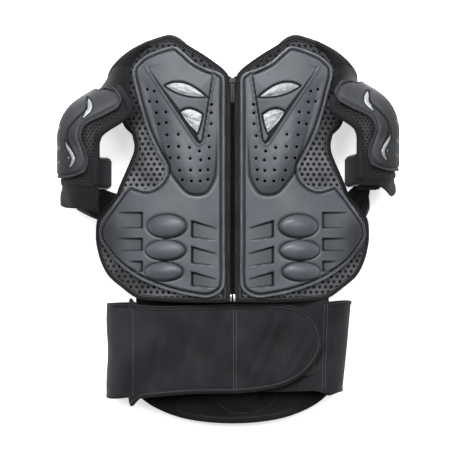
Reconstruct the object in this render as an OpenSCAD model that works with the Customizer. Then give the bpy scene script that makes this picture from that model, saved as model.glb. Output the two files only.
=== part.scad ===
// Children's motocross body armour vest with a back protector, zipped up and lying on its back.
// Millimetres. X runs across the chest, Y from hem to head and Z up out of the chest.
// "l" is the wearer's left (+X) and "r" the wearer's right (-X).

/* [Front panels] */
// Width of one chest plate
plate_w = 160; // [130:1:200]
// Height of one chest plate
plate_h = 320; // [265:1:390]
// Gap between the two chest plates, which the zip fills
zip_gap = 20; // [18:1:28]
// Height of the zip above the surface that the vest lies on
chest_z = 72; // [71:1:90]
// How far the front falls from the zip to the side seam
side_drop = 48; // [40:1:50]
// Thickness of the front mesh fabric
mesh_t = 3; // [2:0.5:4]
// Width of the binding tape round the fabric edges
binding_w = 6; // [4:0.5:9]
// Wall of a moulded plate
plate_t = 3; // [2:0.5:4]
// Thickness of the foam under a chest plate
foam_t = 4.4; // [3:0.2:8]
// Radius of a vent hole
vent_r = 1.9; // [1:0.1:2.5]
// Depth of a gill recess
gill_depth = 1.6; // [0.6:0.2:1.8]
// Thickness of a silver insert
insert_t = 1; // [0.6:0.1:1.4]

/* [Zip] */
// Width of one zip tape
tape_w = 9.5; // [7:0.5:12]
// Width of one side of the coil
coil_w = 2.4; // [1.8:0.1:3]
// Height of the coil
coil_h = 3; // [2.4:0.1:3.6]
// Length of the slider
slider_l = 12; // [9:0.5:16]
// Length of the pull tab
pull_l = 26; // [18:1:36]
// Radius of the pin that the pull tab turns on
pull_pin_r = 0.8; // [0.6:0.1:1]

/* [Back] */
// Height of the back fabric above the surface
back_z = 14; // [13:0.5:20]
// Thickness of the back fabric
back_t = 3; // [2:0.5:4]
// Thickness of the spine foam
spine_foam_t = 5.5; // [4:0.5:6]
// Wall of a spine plate
spine_t = 3.2; // [2.6:0.2:4]
// Length of one spine plate
spine_l = 54; // [46:1:62]
// Radius of a rivet shank
rivet_r = 2; // [1.5:0.1:2.5]

/* [Belt] */
// Height of the belt band
belt_w = 116; // [96:1:140]
// Thickness of the belt band
belt_t = 3.5; // [2.5:0.5:5]
// Reach of the belt's fold on the wearer's right
belt_reach_r = 158; // [140:1:180]
// Reach of the belt's fold on the wearer's left
belt_reach_l = 147; // [130:1:170]
// Length of the flap beyond its hinge seam
flap_l = 245; // [210:1:270]
// Length of the under panel beyond its hinge seam
under_l = 130; // [90:1:140]

/* [Arm guards] */
// Outer radius of the arm guard
arm_r = 41; // [36:0.5:48]
// Wall of the arm guard shell
arm_t = 3; // [2:0.5:4]
// Thickness of the arm guard pad
arm_pad_t = 5.5; // [4:0.5:8]
// Distance from the zip to the arm guard's axis, at the drawn chest width
arm_x = 168; // [164:1:200]
// Width of the upper strap
strap_w = 38; // [25:1:42]
// Width of the cuff strap
cuff_w = 24; // [20:1:28]
// Thickness of a strap
strap_t = 2; // [1.2:0.2:2.4]
// How much further out the wearer's right arm guard lies
arm_out_r = 11; // [0:1:20]
// How much lower the wearer's right arm guard lies
arm_down_r = 9; // [0:1:20]

/* [Hidden] */
$fn = 48;
gap = 0.3;
ply = 0.1;
tall = 400;
arc_steps = 6;

// The front lies on a barrel: a cylinder along Y whose radius follows the drop to the side seam.
hem_y = -90;
half_w = zip_gap / 2 + plate_w;
// The arm guards and the belt's folds move out with the side seam, whose own place is 170.
wider = half_w - 170;
arm_at_x = arm_x + wider;
barrel_r = (half_w * half_w + side_drop * side_drop) / (2 * side_drop);
barrel_z = chest_z - barrel_r;
mesh_in_r = barrel_r - mesh_t;
on_mesh_r = barrel_r + ply;
foam_top_r = on_mesh_r + foam_t;
insert_in_r = foam_top_r + ply;
insert_top_r = insert_in_r + insert_t;
plate_in_r = insert_top_r + ply;
plate_out_r = plate_in_r + plate_t;

// Corners as [share of the plate's width, share of its height, corner radius].
plate_corners = [
    [0, 0.009, 20], [0.375, 0.025, 110], [0.825, 0.125, 70], [1.012, 0.281, 12],
    [0.744, 0.469, 9], [0.637, 0.434, 14], [0.419, 0.437, 19], [0.619, 0.7, 170],
    [0.744, 0.928, 13], [0.381, 1.016, 12], [0.162, 0.906, 34], [0, 0.897, 14],
];
fabric_corners = [
    [0.312, -0.006, 120], [0.75, 0.019, 50], [0.981, 0.119, 36], [1.044, 0.281, 24],
    [0.875, 0.4, 40], [0.706, 0.569, 24], [0.7, 0.645, 40], [0.925, 0.9, 13],
    [0.74, 0.99, 40], [0.43, 1.044, 14], [0.162, 0.944, 40],
];
fabric_in_x = 5;

// Each front panel opens on a slanted line from the top of the shoulder to the side of the waist.
fold_top = at(0.481, 1.034);
fold_low = at(1.072, 0.03);
fold_seam = 28;

// Eye cut-outs, bumps, gills and vents, all as shares of the plate.
bumps = [[0.453, 0.295, 48, 28], [0.459, 0.2, 48, 24.5], [0.469, 0.117, 47, 23]];
bump_rise = 7;
lens_at = [0.306, 0.817];
lens_size = [56, 14];
lens_tilt = 15;
wedge_corners = [[0.355, 0.735, 2], [0.16, 0.73, 2], [0.205, 0.645, 1.5]];
outer_gills = [[0.64, 0.849, 0.348, 0.286], [0.64, 0.85, 0.247, 0.198], [0.64, 0.79, 0.157, 0.117]];
inner_gills = [[0.044, 0.255, 0.316, 0.25], [0.044, 0.255, 0.215, 0.15], [0.044, 0.255, 0.117, 0.063]];
vent_rows = [[0.6, 5], [0.56, 5], [0.515, 4], [0.472, 4]];
vent_pitch = 12.5;
vent_in_x = 18.5;

// Zip: tape, coil and the slider's run.
coil_in_x = 1;
post_w = 1.4;
tape_in_x = coil_in_x + coil_w + gap;
// The rest of each tape is sewn in under the plate.
tape_show = min(tape_w, zip_gap / 2 - ply - tape_in_x);
zip_top_y = at(0, 0.87).y;
zip_low_y = hem_y + 10;
slider_w = 2 * (coil_in_x + coil_w) + 1.4;
slider_plate_t = 1;
slider_y = zip_top_y - slider_l / 2;
slider_low_z = barrel_z + barrel_r - slider_plate_t - gap;
teeth_top_y = zip_top_y - slider_l - gap;
slider_top_z = barrel_z + on_mesh_r + coil_h + gap;
cheek_w = 1;
pull_w = 5;
pull_t = 1.4;
pull_z = slider_top_z + slider_plate_t + 2;
pull_bore_r = pull_pin_r + 0.1;

// Back layers, counted up from the surface: plates, foam and fabric.
spine_pad_top = back_z - gap;
spine_w = 84;
spine_step = spine_l - 8;
spine_top_y = 92;
tongue_l = 12;
upper_plate_y = [spine_top_y, 184];
rivet_head_r = 4;
rivet_head_t = 1.2;
rivet_fit = 0.1;
rivet_x = 20;
lumbar_low_y = -246;
lumbar_corners = [[50, lumbar_low_y, 60], [104, -226, 40], [127, -196, 14]];
back_side_corners = [[0.69, 0.03, 20], [0.74, 0.3, 60], [0.7, 0.58, 60]];
lumbar_pad_top = back_z + back_t + gap + 4;

// Belt: a flattened ring of band round the waist.
belt_top_y = -93.5;
belt_back_z = 3;
flap_top_z = 58;
patch_t = 1.6;
under_top_z = flap_top_z - belt_t - 2 * patch_t - gap;
fold_r_r = (flap_top_z - belt_back_z) / 2;
fold_r_l = (under_top_z - belt_back_z) / 2;
hinge_r_x = -belt_reach_r - wider / 2 + fold_r_r;
hinge_l_x = belt_reach_l + wider / 2 - fold_r_l;
flap_low = belt_top_y - belt_w;

// Arm guard: a bent tube, cut to an open shell.
arm_bulge = 2.5;
arm_z = arm_r + arm_bulge + 0.5;
elbow_y = 125;
arm_low_y = 22;
arm_bend = 57;
arm_up_l = 52;
pad_out_r = arm_r - arm_t - gap;
pad_in_r = pad_out_r - arm_pad_t;
shell_corners = [
    [-46, 75, 3], [-40, 33, 9], [10, 10, 10], [-4, -27, 13], [16, -53, 9], [52, -49, 3], [52, 75, 3],
];
pad_corners = [
    [-45, 75, 3], [-42, 16, 8], [-12, 1, 11], [-19, -28, 14], [-12, -76, 9], [52, -78, 3], [52, 75, 3],
];
strap_ring_x = 10;
strap_out_r = pad_in_r - 4;
strap_y = 62;
cuff_y = 30;
cuff_tight = 5;

// The model is moved so that its box is centred on the origin.
arm_out_x = arm_at_x + arm_r + arm_bulge;
centre_x = arm_out_r / 2;
centre_y = -(max([for (p = fabric_outline()) p.y]) + lumbar_low_y) / 2;
echo(shift = [centre_x, centre_y], barrel_r = barrel_r, barrel_z = barrel_z);
echo(fold_top = fold_top, fold_low = fold_low, slide = slider_y - zip_low_y - slider_l / 2);
echo(pull = [slider_y, pull_z], under_top_z = under_top_z, hinge_r_x = hinge_r_x, hinge_l_x = hinge_l_x, arm_z = arm_z,
     arm_out_x = arm_out_x);

function unit(v) = v / norm(v);

// The arc that rounds corner p between its neighbours a and b.
function corner_arc(a, p, b, r) =
    let (
        u = unit(a - p),
        v = unit(b - p),
        half = acos(u * v) / 2,
        c = p + unit(u + v) * r / sin(half),
        s = p + u * r / tan(half) - c,
        e = p + v * r / tan(half) - c,
        from = atan2(s.y, s.x),
        turn = (atan2(e.y, e.x) - from + 540) % 360 - 180
    )
    [for (i = [0:arc_steps]) c + r * [cos(from + turn * i / arc_steps), sin(from + turn * i / arc_steps)]];

// An outline from corners [x, y, radius], counter-clockwise.
function rounded(corners) =
    let (n = len(corners))
    [for (i = [0:n - 1])
        let (a = corners[(i + n - 1) % n], p = corners[i], b = corners[(i + 1) % n])
        each corner_arc([a.x, a.y], [p.x, p.y], [b.x, b.y], p.z)];

// The outline moved inwards by d.
function inset(points, d) =
    let (n = len(points))
    [for (i = [0:n - 1])
        let (
            before = unit(points[i] - points[(i + n - 1) % n]),
            after = unit(points[(i + 1) % n] - points[i]),
            p = [-before.y, before.x],
            q = [-after.y, after.x]
        )
        points[i] + (p + q) * d / (1 + p * q)];

// A point given as shares of the plate's width and height.
function at(u, v) = [zip_gap / 2 + u * plate_w, hem_y + v * plate_h];
function placed(corners) = [for (c = corners) [each at(c.x, c.y), c.z]];
function plate_outline() = rounded(placed(plate_corners));
function fabric_outline() =
    let (low = at(0, -0.003), top = at(0, 0.887))
    rounded([[fabric_in_x, low.y, binding_w + 2], each placed(fabric_corners), [fabric_in_x, top.y, binding_w + 2]]);
// The back's outline: lumbar part, sides, shoulders and neck, one half and then its mirror image.
function back_half() = [
    each lumbar_corners, each placed(back_side_corners),
    for (i = [7:len(fabric_corners) - 1]) each placed([fabric_corners[i]]),
    [each at(0.02, 0.86), binding_w + 4],
];
function back_points() =
    let (half = back_half(), n = len(half))
    rounded([each half, for (i = [n - 1:-1:0]) [-half[i].x, half[i].y, half[i].z]]);

// Draws for one side: 1 is the wearer's left, -1 the wearer's right.
module side(s) {
    translate([centre_x, centre_y, 0]) mirror([s < 0 ? 1 : 0, 0, 0]) children();
}

module centred() {
    translate([centre_x, centre_y, 0]) children();
}

module barrel(r) {
    translate([0, -tall, barrel_z]) rotate([-90, 0, 0]) cylinder(r = r, h = 2 * tall, $fn = 240);
}

// A layer of the barrel between two radii, in the shape of the 2D children.
module layer(r_in, r_out) {
    intersection() {
        linear_extrude(tall) children();
        difference() {
            barrel(r_out);
            barrel(r_in);
        }
    }
}

module ring(points, width) {
    difference() {
        polygon(points);
        polygon(inset(points, width));
    }
}

// The plan region more than d outside the front panel's hinge line.
module beyond_fold(d) {
    run = fold_low - fold_top;
    translate([fold_top.x, fold_top.y, -1]) rotate([0, 0, atan2(run.y, run.x)])
        translate([-tall / 2, d, 0]) cube([tall * 2, tall, tall]);
}

// Places children on the barrel at plan position x, y, with Z along the surface's normal.
module on_barrel(x, y, r) {
    translate([0, y, barrel_z]) rotate([0, asin(x / r), 0]) translate([0, 0, r]) children();
}

// A round-ended bump, a solid of revolution whose long axis lies along X.
module spindle(length, width) {
    r = (length * length + width * width) / (4 * width);
    ends = asin(length / 2 / r);
    rotate([0, 90, 0]) rotate_extrude() polygon([
        [0, -length / 2],
        for (i = [-3:3]) [r * cos(ends * i / 4) - r + width / 2, r * sin(ends * i / 4)],
        [0, length / 2],
    ]);
}

module eye_lens(grow) {
    half_l = lens_size.x / 2 + grow;
    half_h = lens_size.y / 2 + grow;
    r = (half_l * half_l + half_h * half_h) / (2 * half_h);
    ends = asin(half_l / r);
    translate(at(lens_at.x, lens_at.y)) rotate(lens_tilt) polygon([
        for (s = [1, -1], i = [-4:3]) s * [-r * sin(ends * i / 4), r * cos(ends * i / 4) - r + half_h],
    ]);
}

module eye_wedge(grow) {
    polygon(inset(rounded(placed(wedge_corners)), -grow));
}

function vents() = [
    for (row = vent_rows, i = [0:row[1] - 1]) [zip_gap / 2 + vent_in_x + i * vent_pitch, at(0, row[0]).y],
    for (i = [0:3]) at(0.1, 0.645 + 0.041 * i),
    for (i = [0:4], j = [0:1]) at(0.445 + 0.039 * i - (0.088 - 0.008 * i) * j, 0.648 + 0.0445 * i),
];

module gill(g) {
    low = at(g[0], g[3]);
    high = at(g[1], g[2]);
    mid = (low + high) / 2;
    on_barrel(mid.x, mid.y, plate_out_r)
        translate([(low.x - high.x) / 2, (low.y - high.y) / 2, -gill_depth])
            cube([high.x - low.x, high.y - low.y, gill_depth + 4]);
}

module chest_plate(s) {
    color("#3a3b3f") side(s) difference() {
        union() {
            difference() {
                layer(on_mesh_r, plate_out_r) polygon(plate_outline());
                layer(on_mesh_r - 1, plate_in_r) polygon(inset(plate_outline(), plate_t));
            }
            for (b = bumps) {
                p = at(b[0], b[1]);
                intersection() {
                    on_barrel(p.x, p.y, plate_out_r + bump_rise - b[3] / 2) spindle(b[2], b[3]);
                    difference() {
                        barrel(plate_out_r + 20);
                        barrel(plate_out_r - 1);
                    }
                }
            }
        }
        for (g = outer_gills) gill(g);
        for (g = inner_gills) gill(g);
        linear_extrude(tall) {
            eye_lens(0);
            eye_wedge(0);
        }
        for (v = vents()) translate([v.x, v.y, 0]) cylinder(r = vent_r, h = tall, $fn = 24);
    }
}

module chest_inserts(s) {
    color("#d8dce0") side(s) {
        layer(insert_in_r, insert_top_r) eye_lens(1.5);
        layer(insert_in_r, insert_top_r) eye_wedge(1.5);
    }
}

module chest_foam(s) {
    color("#1c1c1e") side(s) layer(on_mesh_r, foam_top_r) polygon(inset(plate_outline(), plate_t + 1));
}

module front_mesh(s) {
    color("#2b2c2e") side(s) difference() {
        layer(mesh_in_r, barrel_r) polygon(inset(fabric_outline(), binding_w + ply));
        beyond_fold(fold_seam);
    }
}

module front_binding(s) {
    color("#1f2022") side(s) difference() {
        layer(mesh_in_r, barrel_r) ring(fabric_outline(), binding_w);
        beyond_fold(fold_seam);
    }
}

// A wall that stands between the back fabric and the front fabric along part of the outline.
module wall_between(s, y_low, y_high, x_low) {
    side(s) intersection() {
        linear_extrude(tall) intersection() {
            ring(inset(fabric_outline(), 0.8), 2.6);
            translate([x_low, y_low]) square([tall, y_high - y_low]);
        }
        barrel(mesh_in_r - gap);
        translate([0, -tall, back_z + back_t + gap]) cube([tall, 2 * tall, tall]);
    }
}

module shoulder_panel(s) {
    color("#2b2c2e") side(s) intersection() {
        layer(mesh_in_r, barrel_r) polygon(fabric_outline());
        beyond_fold(fold_seam + gap);
    }
}

module shoulder_yoke(s) {
    color("#2f3033") intersection() {
        wall_between(s, at(0, 0.9).y, tall, at(0.4, 0).x);
        side(s) beyond_fold(fold_seam + gap);
    }
}

module side_elastic(s) {
    color("#232426") {
        wall_between(s, at(0, 0.06).y, at(0, 0.12).y, at(0.6, 0).x);
        side(s) translate([at(0.6, 0).x, at(0, 0.06).y, back_z + back_t])
            cube([at(0.87, 0).x - at(0.6, 0).x, at(0, 0.12).y - at(0, 0.06).y, gap + 1.2]);
    }
}

module zip_tape(s) {
    color("#202124") side(s) layer(on_mesh_r, on_mesh_r + 1.2)
        translate([tape_in_x, hem_y]) square([tape_show, zip_top_y + 6 - hem_y]);
}

module zip_coil(s) {
    color("#151517") side(s)
        translate([coil_in_x, zip_low_y, barrel_z + on_mesh_r]) cube([coil_w, teeth_top_y - zip_low_y, coil_h]);
}

module zip_box() {
    color("#c9ccd0") centred()
        translate([coil_in_x, hem_y, barrel_z + on_mesh_r]) cube([coil_w, zip_low_y - gap - hem_y, coil_h + 0.6]);
}

module zip_pin() {
    color("#c9ccd0") centred()
        translate([-coil_in_x - coil_w, hem_y, barrel_z + on_mesh_r]) cube([coil_w, zip_low_y - gap - hem_y, coil_h + 0.6]);
}

module zip_slider() {
    color("#2a2b2d") centred() translate([0, slider_y - slider_l / 2, 0]) {
        translate([-slider_w / 2, 0, slider_low_z]) cube([slider_w, slider_l, slider_plate_t]);
        translate([-slider_w / 2, 0, slider_top_z]) cube([slider_w, slider_l, slider_plate_t]);
        translate([-post_w / 2, slider_l - 3, slider_low_z])
            cube([post_w, 3, slider_top_z + slider_plate_t - slider_low_z]);
        for (x = [-pull_w / 2 - gap - cheek_w, pull_w / 2 + gap])
            translate([x, slider_l / 2 - 2, slider_top_z + slider_plate_t - 0.2]) cube([cheek_w, 4, 4]);
        translate([-pull_w / 2 - gap - 0.5, slider_l / 2, pull_z])
            rotate([0, 90, 0]) cylinder(r = pull_pin_r, h = pull_w + 2 * gap + 1);
    }
}

module zip_pull() {
    color("#232427") centred() translate([0, slider_y, pull_z]) difference() {
        union() {
            translate([-pull_w / 2, 0, 0]) rotate([0, 90, 0]) cylinder(r = 1.6, h = pull_w);
            translate([-pull_w / 2, -pull_l, -pull_t / 2]) cube([pull_w, pull_l, pull_t]);
        }
        translate([-pull_w, 0, 0]) rotate([0, 90, 0]) cylinder(r = pull_bore_r, h = 2 * pull_w);
    }
}

module back_panel() {
    color("#2b2c2e") centred() translate([0, 0, back_z]) linear_extrude(back_t) polygon(inset(back_points(), binding_w + ply));
}

module back_binding() {
    color("#1f2022") centred() translate([0, 0, back_z]) linear_extrude(back_t) ring(back_points(), binding_w);
}

module slab(size, radius, low, high) {
    translate([0, 0, low]) linear_extrude(high - low) polygon(rounded([
        [-size.x / 2, 0, radius], [size.x / 2, 0, radius], [size.x / 2, size.y, radius], [-size.x / 2, size.y, radius],
    ]));
}

module spine_pad() {
    color("#1c1c1e") centred() translate([0, spine_top_y - 4 * spine_step, 0])
        slab([spine_w - 8, 4 * spine_step + 90], 20, spine_pad_top - spine_foam_t, spine_pad_top);
}

function rivet_places() = [
    for (i = [0:3], s = [-1, 1]) [s * rivet_x, spine_top_y - i * spine_step + 7],
    for (s = [-1, 1]) [s * 70, upper_plate_y[1] - 22],
];

module rivet_holes() {
    for (p = rivet_places()) translate([p.x, p.y, -1]) {
        cylinder(r = rivet_r + rivet_fit, h = 30);
        cylinder(r = rivet_head_r + rivet_fit, h = 1 + 0.2 + rivet_head_t + rivet_fit);
    }
}

// Plate n of the spine: its tongue runs in under the plate above it.
module spine_plate(n) {
    low = spine_top_y - n * spine_step;
    width = spine_w - 4 * n;
    color("#3a3b3f") centred() difference() {
        translate([0, low, 0]) union() {
            slab([width, spine_step - gap], 12, 0, spine_t);
            translate([0, spine_step - gap - tongue_l, 0]) slab([width - 24, tongue_l], 2, 0, 2 * spine_t + gap);
            translate([0, spine_step - gap - tongue_l, 0])
                slab([width - 24, 2 * tongue_l + 2], 4, spine_t + gap, 2 * spine_t + gap);
        }
        rivet_holes();
    }
}

module upper_back_plate() {
    color("#3a3b3f") centred() difference() {
        translate([0, 0, 0]) linear_extrude(spine_t) polygon(rounded([
            [-spine_w / 2, upper_plate_y[0], 10], [spine_w / 2, upper_plate_y[0], 10], [104, 118, 14],
            [104, upper_plate_y[1] - 6, 16], [40, upper_plate_y[1], 20], [-40, upper_plate_y[1], 20],
            [-104, upper_plate_y[1] - 6, 16], [-104, 118, 14],
        ]));
        rivet_holes();
    }
}

module spine_rivets() {
    color("#6d7075") centred() for (p = rivet_places()) translate([p.x, p.y, 0]) {
        translate([0, 0, 0.2]) cylinder(r = rivet_head_r, h = rivet_head_t);
        translate([0, 0, 0.2]) cylinder(r = rivet_r, h = 2 * spine_t + gap);
    }
}

module lumbar_pad() {
    color("#1c1c1e") centred() translate([0, lumbar_low_y + 28, back_z + back_t + gap])
        linear_extrude(4) polygon(rounded([[-32, 0, 20], [32, 0, 20], [34, 120, 8], [-34, 120, 8]]));
}

module belt_back() {
    color("#26272a") centred() translate([hinge_r_x, flap_low, belt_back_z])
        cube([hinge_l_x - hinge_r_x, belt_w, belt_t]);
}

// Half a tube along Y that turns the belt back on itself.
module fold(x, r, s) {
    color("#26272a") centred() translate([x, flap_low, belt_back_z + r]) rotate([-90, 0, 0]) intersection() {
        difference() {
            cylinder(r = r, h = belt_w);
            translate([0, 0, -1]) cylinder(r = r - belt_t, h = belt_w + 2);
        }
        translate([s > 0 ? gap : -tall - gap, -tall / 2, 0]) cube([tall, tall, belt_w]);
    }
}

function flap_outline() = rounded([
    [0, flap_low, binding_w + 2], [0.55 * flap_l, flap_low + 8, 200], [flap_l + 2, flap_low + 20, 52],
    [flap_l + 2, belt_top_y, 40], [0, belt_top_y, binding_w + 2],
]);

module belt_flap() {
    color("#2a2b2e") centred() translate([hinge_r_x + gap, 0, flap_top_z - belt_t])
        linear_extrude(belt_t) polygon(inset(flap_outline(), binding_w + ply));
}

module belt_flap_binding() {
    color("#1f2022") centred() translate([hinge_r_x + gap, 0, flap_top_z - belt_t])
        linear_extrude(belt_t) ring(flap_outline(), binding_w);
}

module patch_shape(x, w) {
    polygon(rounded([
        [x, flap_low + 26, 6], [x + w, flap_low + 26, 6], [x + w, belt_top_y - 16, 6], [x, belt_top_y - 16, 6],
    ]));
}

module belt_hook_patch() {
    color("#17181a") centred() translate([hinge_r_x, 0, flap_top_z - belt_t - patch_t]) linear_extrude(patch_t)
        patch_shape(flap_l - 84, 70);
}

module belt_under() {
    color("#26272a") centred() translate([hinge_l_x - gap - under_l, flap_low + 5, under_top_z - belt_t])
        cube([under_l, belt_w - 5, belt_t]);
}

module belt_loop_patch() {
    color("#202124") centred() translate([0, 0, under_top_z]) linear_extrude(patch_t)
        patch_shape(hinge_l_x - under_l + 6, 106);
}

// The arm guard's bent tube, axis along Y below the elbow.
module arm_tube(r) {
    translate([0, arm_low_y - elbow_y, 0]) rotate([-90, 0, 0]) cylinder(r = r, h = elbow_y - arm_low_y);
    sphere(r = r + arm_bulge);
    rotate([0, 0, arm_bend]) rotate([-90, 0, 0]) cylinder(r = r, h = arm_up_l);
}

// The room that the shoulder fabric takes inside the top of the guard.
module shoulder_room() {
    translate([-6 - tall, -tall / 2, -tall]) cube([tall, tall, tall + 17]);
}

// Places an arm piece drawn about its elbow.
module arm_side(s) {
    side(s) translate([arm_at_x + (s < 0 ? arm_out_r : 0), elbow_y - (s < 0 ? arm_down_r : 0), arm_z]) children();
}

module arm_shell(s) {
    color("#37383c") arm_side(s) intersection() {
        difference() {
            arm_tube(arm_r);
            arm_tube(arm_r - arm_t);
            shoulder_room();
        }
        translate([0, 0, -tall / 2]) linear_extrude(tall) polygon(rounded(shell_corners));
    }
}

module arm_pad(s) {
    color("#222326") arm_side(s) intersection() {
        difference() {
            arm_tube(pad_out_r);
            arm_tube(pad_in_r);
            shoulder_room();
        }
        union() {
            translate([0, 0, -tall / 2]) linear_extrude(tall) polygon(rounded(pad_corners));
            translate([-6, arm_low_y - elbow_y, -tall / 2]) cube([60, 60, tall / 2 - 12]);
        }
    }
}

// A crescent of silver trim on the shell.
module arm_crescent(x, y, length, turn) {
    translate([x, y, 0]) rotate(turn) intersection() {
        circle(length, $fn = 90);
        translate([length * 1.72, 0]) circle(length, $fn = 90);
    }
}

module arm_inserts(s) {
    color("#d8dce0") arm_side(s) intersection() {
        difference() {
            arm_tube(arm_r + 1);
            arm_tube(arm_r + 0.2);
        }
        translate([0, 0, 0]) linear_extrude(tall) {
            arm_crescent(6, 22, 20, 60);
            arm_crescent(0, -36, 20, -15);
        }
    }
}

// A strap band that closes the guard on its inner side; tight moves it outwards and makes it smaller.
module band(r, y, w, from, to, tight = 0) {
    translate([strap_ring_x + tight, y - elbow_y, 0]) rotate([-90, 0, 0]) rotate([0, 0, -to])
        rotate_extrude(angle = to - from, $fn = 96) translate([r - tight - strap_t, 0]) square([strap_t, w]);
}

module arm_strap(s) {
    color("#1d1e20") arm_side(s) band(strap_out_r, strap_y, strap_w, 84, 276);
}

module strap_tab(s) {
    color("#232427") arm_side(s) band(strap_out_r + strap_t + ply, strap_y + 2, strap_w - 4, 140, 215);
}

module cuff_strap(s) {
    color("#151618") arm_side(s) band(strap_out_r, cuff_y, cuff_w, 84, 276, cuff_tight);
}

module cuff_tab(s) {
    color("#1b1c1e") arm_side(s) band(strap_out_r + strap_t + ply, cuff_y + 2, cuff_w - 4, 140, 215, cuff_tight);
}

back_panel();
back_binding();
spine_pad();
upper_back_plate();
spine_plate(1);  // spine_plate_1
spine_plate(2);  // spine_plate_2
spine_plate(3);  // spine_plate_3
spine_plate(4);  // spine_plate_4
spine_rivets();
lumbar_pad();
shoulder_yoke(1);  // shoulder_yoke_l
shoulder_yoke(-1);  // shoulder_yoke_r
shoulder_panel(1);  // shoulder_panel_l
shoulder_panel(-1);  // shoulder_panel_r
side_elastic(1);  // side_elastic_l
side_elastic(-1);  // side_elastic_r
belt_back();
fold(hinge_l_x, fold_r_l, 1);  // belt_fold_l
fold(hinge_r_x, fold_r_r, -1);  // belt_fold_r
belt_flap();
belt_flap_binding();
belt_hook_patch();
belt_under();
belt_loop_patch();
front_mesh(1);  // front_mesh_l
front_mesh(-1);  // front_mesh_r
front_binding(1);  // front_binding_l
front_binding(-1);  // front_binding_r
chest_foam(1);  // chest_foam_l
chest_foam(-1);  // chest_foam_r
chest_plate(1);  // chest_plate_l
chest_plate(-1);  // chest_plate_r
chest_inserts(1);  // chest_inserts_l
chest_inserts(-1);  // chest_inserts_r
zip_tape(1);  // zip_tape_l
zip_tape(-1);  // zip_tape_r
zip_coil(1);  // zip_coil_l
zip_coil(-1);  // zip_coil_r
zip_box();
zip_pin();
zip_slider();
zip_pull();
arm_shell(1);  // arm_shell_l
arm_shell(-1);  // arm_shell_r
arm_pad(1);  // arm_pad_l
arm_pad(-1);  // arm_pad_r
arm_inserts(1);  // arm_inserts_l
arm_inserts(-1);  // arm_inserts_r
arm_strap(1);  // arm_strap_l
arm_strap(-1);  // arm_strap_r
strap_tab(1);  // strap_tab_l
strap_tab(-1);  // strap_tab_r
cuff_strap(1);  // cuff_strap_l
cuff_strap(-1);  // cuff_strap_r
cuff_tab(1);  // cuff_tab_l
cuff_tab(-1);  // cuff_tab_r
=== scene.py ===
"""A child's body armour vest, zipped up and lying on its back on a pale floor.

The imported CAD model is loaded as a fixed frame, and each visible sub-assembly is then modelled
around it in its real materials: moulded chest plates, spacer mesh, zip, arm guards, waist belt
and the padding of the back.
"""

from __future__ import annotations

import logging
import math
from dataclasses import dataclass
from enum import Enum
from typing import Callable, Iterable, Sequence

import bmesh
import bpy
import numpy as np
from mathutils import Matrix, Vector

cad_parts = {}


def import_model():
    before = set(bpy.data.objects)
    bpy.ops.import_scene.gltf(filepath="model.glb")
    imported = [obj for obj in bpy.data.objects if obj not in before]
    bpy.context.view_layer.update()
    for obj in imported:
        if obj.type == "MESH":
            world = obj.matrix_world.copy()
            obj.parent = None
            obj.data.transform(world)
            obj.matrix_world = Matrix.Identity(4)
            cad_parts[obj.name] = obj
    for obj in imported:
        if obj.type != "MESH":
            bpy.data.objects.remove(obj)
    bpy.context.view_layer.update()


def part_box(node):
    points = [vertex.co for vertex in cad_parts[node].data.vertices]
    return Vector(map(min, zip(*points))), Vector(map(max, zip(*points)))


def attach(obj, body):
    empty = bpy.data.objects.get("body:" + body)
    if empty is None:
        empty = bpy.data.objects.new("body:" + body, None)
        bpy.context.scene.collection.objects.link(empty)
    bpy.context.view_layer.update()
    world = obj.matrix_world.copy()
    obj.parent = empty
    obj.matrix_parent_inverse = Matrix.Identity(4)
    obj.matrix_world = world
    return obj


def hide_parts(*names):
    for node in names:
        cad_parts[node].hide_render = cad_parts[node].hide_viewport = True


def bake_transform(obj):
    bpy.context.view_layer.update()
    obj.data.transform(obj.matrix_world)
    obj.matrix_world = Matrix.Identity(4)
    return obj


LOG = logging.getLogger("vest")
MM = 0.001
Object = bpy.types.Object
Material = bpy.types.Material
Relief = Callable[[np.ndarray, np.ndarray, np.ndarray], np.ndarray]
Point = Sequence[float]


# ---------------------------------------------------------------- numbers and outlines


def ease(start: float, end: float, value: np.ndarray) -> np.ndarray:
    """Rise smoothly from 0 at start to 1 at end; start may be the larger."""
    t = np.clip((value - start) / (end - start), 0, 1)
    return t * t * (3 - 2 * t)


def hump(centre: float, width: float, value: np.ndarray) -> np.ndarray:
    """Return a smooth bump of height 1 at centre."""
    return np.exp(-(((value - centre) / width) ** 2))


def spline(points: Sequence[Point], step: float, closed: bool) -> np.ndarray:
    """Draw a smooth curve through points.

    Args:
        points: Places that the curve passes through, in millimetres.
        step: Distance between the points that come back.
        closed: Whether the curve joins up with its start.

    Returns:
        Evenly spaced points on the curve; the first isn't repeated on a closed one.
    """
    p = np.array(points, float)
    if closed:
        p = np.vstack([p[-1], p, p[0], p[1]])
    else:
        p = np.vstack([2 * p[0] - p[1], p, 2 * p[-1] - p[-2]])
    t = np.linspace(0, 1, 16, endpoint=False)[:, None]
    runs = []
    for a, b, c, d in zip(p[:-3], p[1:-2], p[2:-1], p[3:]):
        runs.append(0.5 * (2 * b + (c - a) * t + (2 * a - 5 * b + 4 * c - d) * t**2 + (3 * b - a - 3 * c + d) * t**3))
    curve = np.vstack(runs + [p[-2][None]])
    if closed:
        curve[-1] = curve[0]
    along = np.concatenate([[0], np.cumsum(np.linalg.norm(np.diff(curve, axis=0), axis=1))])
    count = max(8, int(round(along[-1] / step)))
    places = np.linspace(0, along[-1], count + (0 if closed else 1), endpoint=not closed)
    return np.stack([np.interp(places, along, curve[:, k]) for k in range(p.shape[1])], axis=1)


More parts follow.
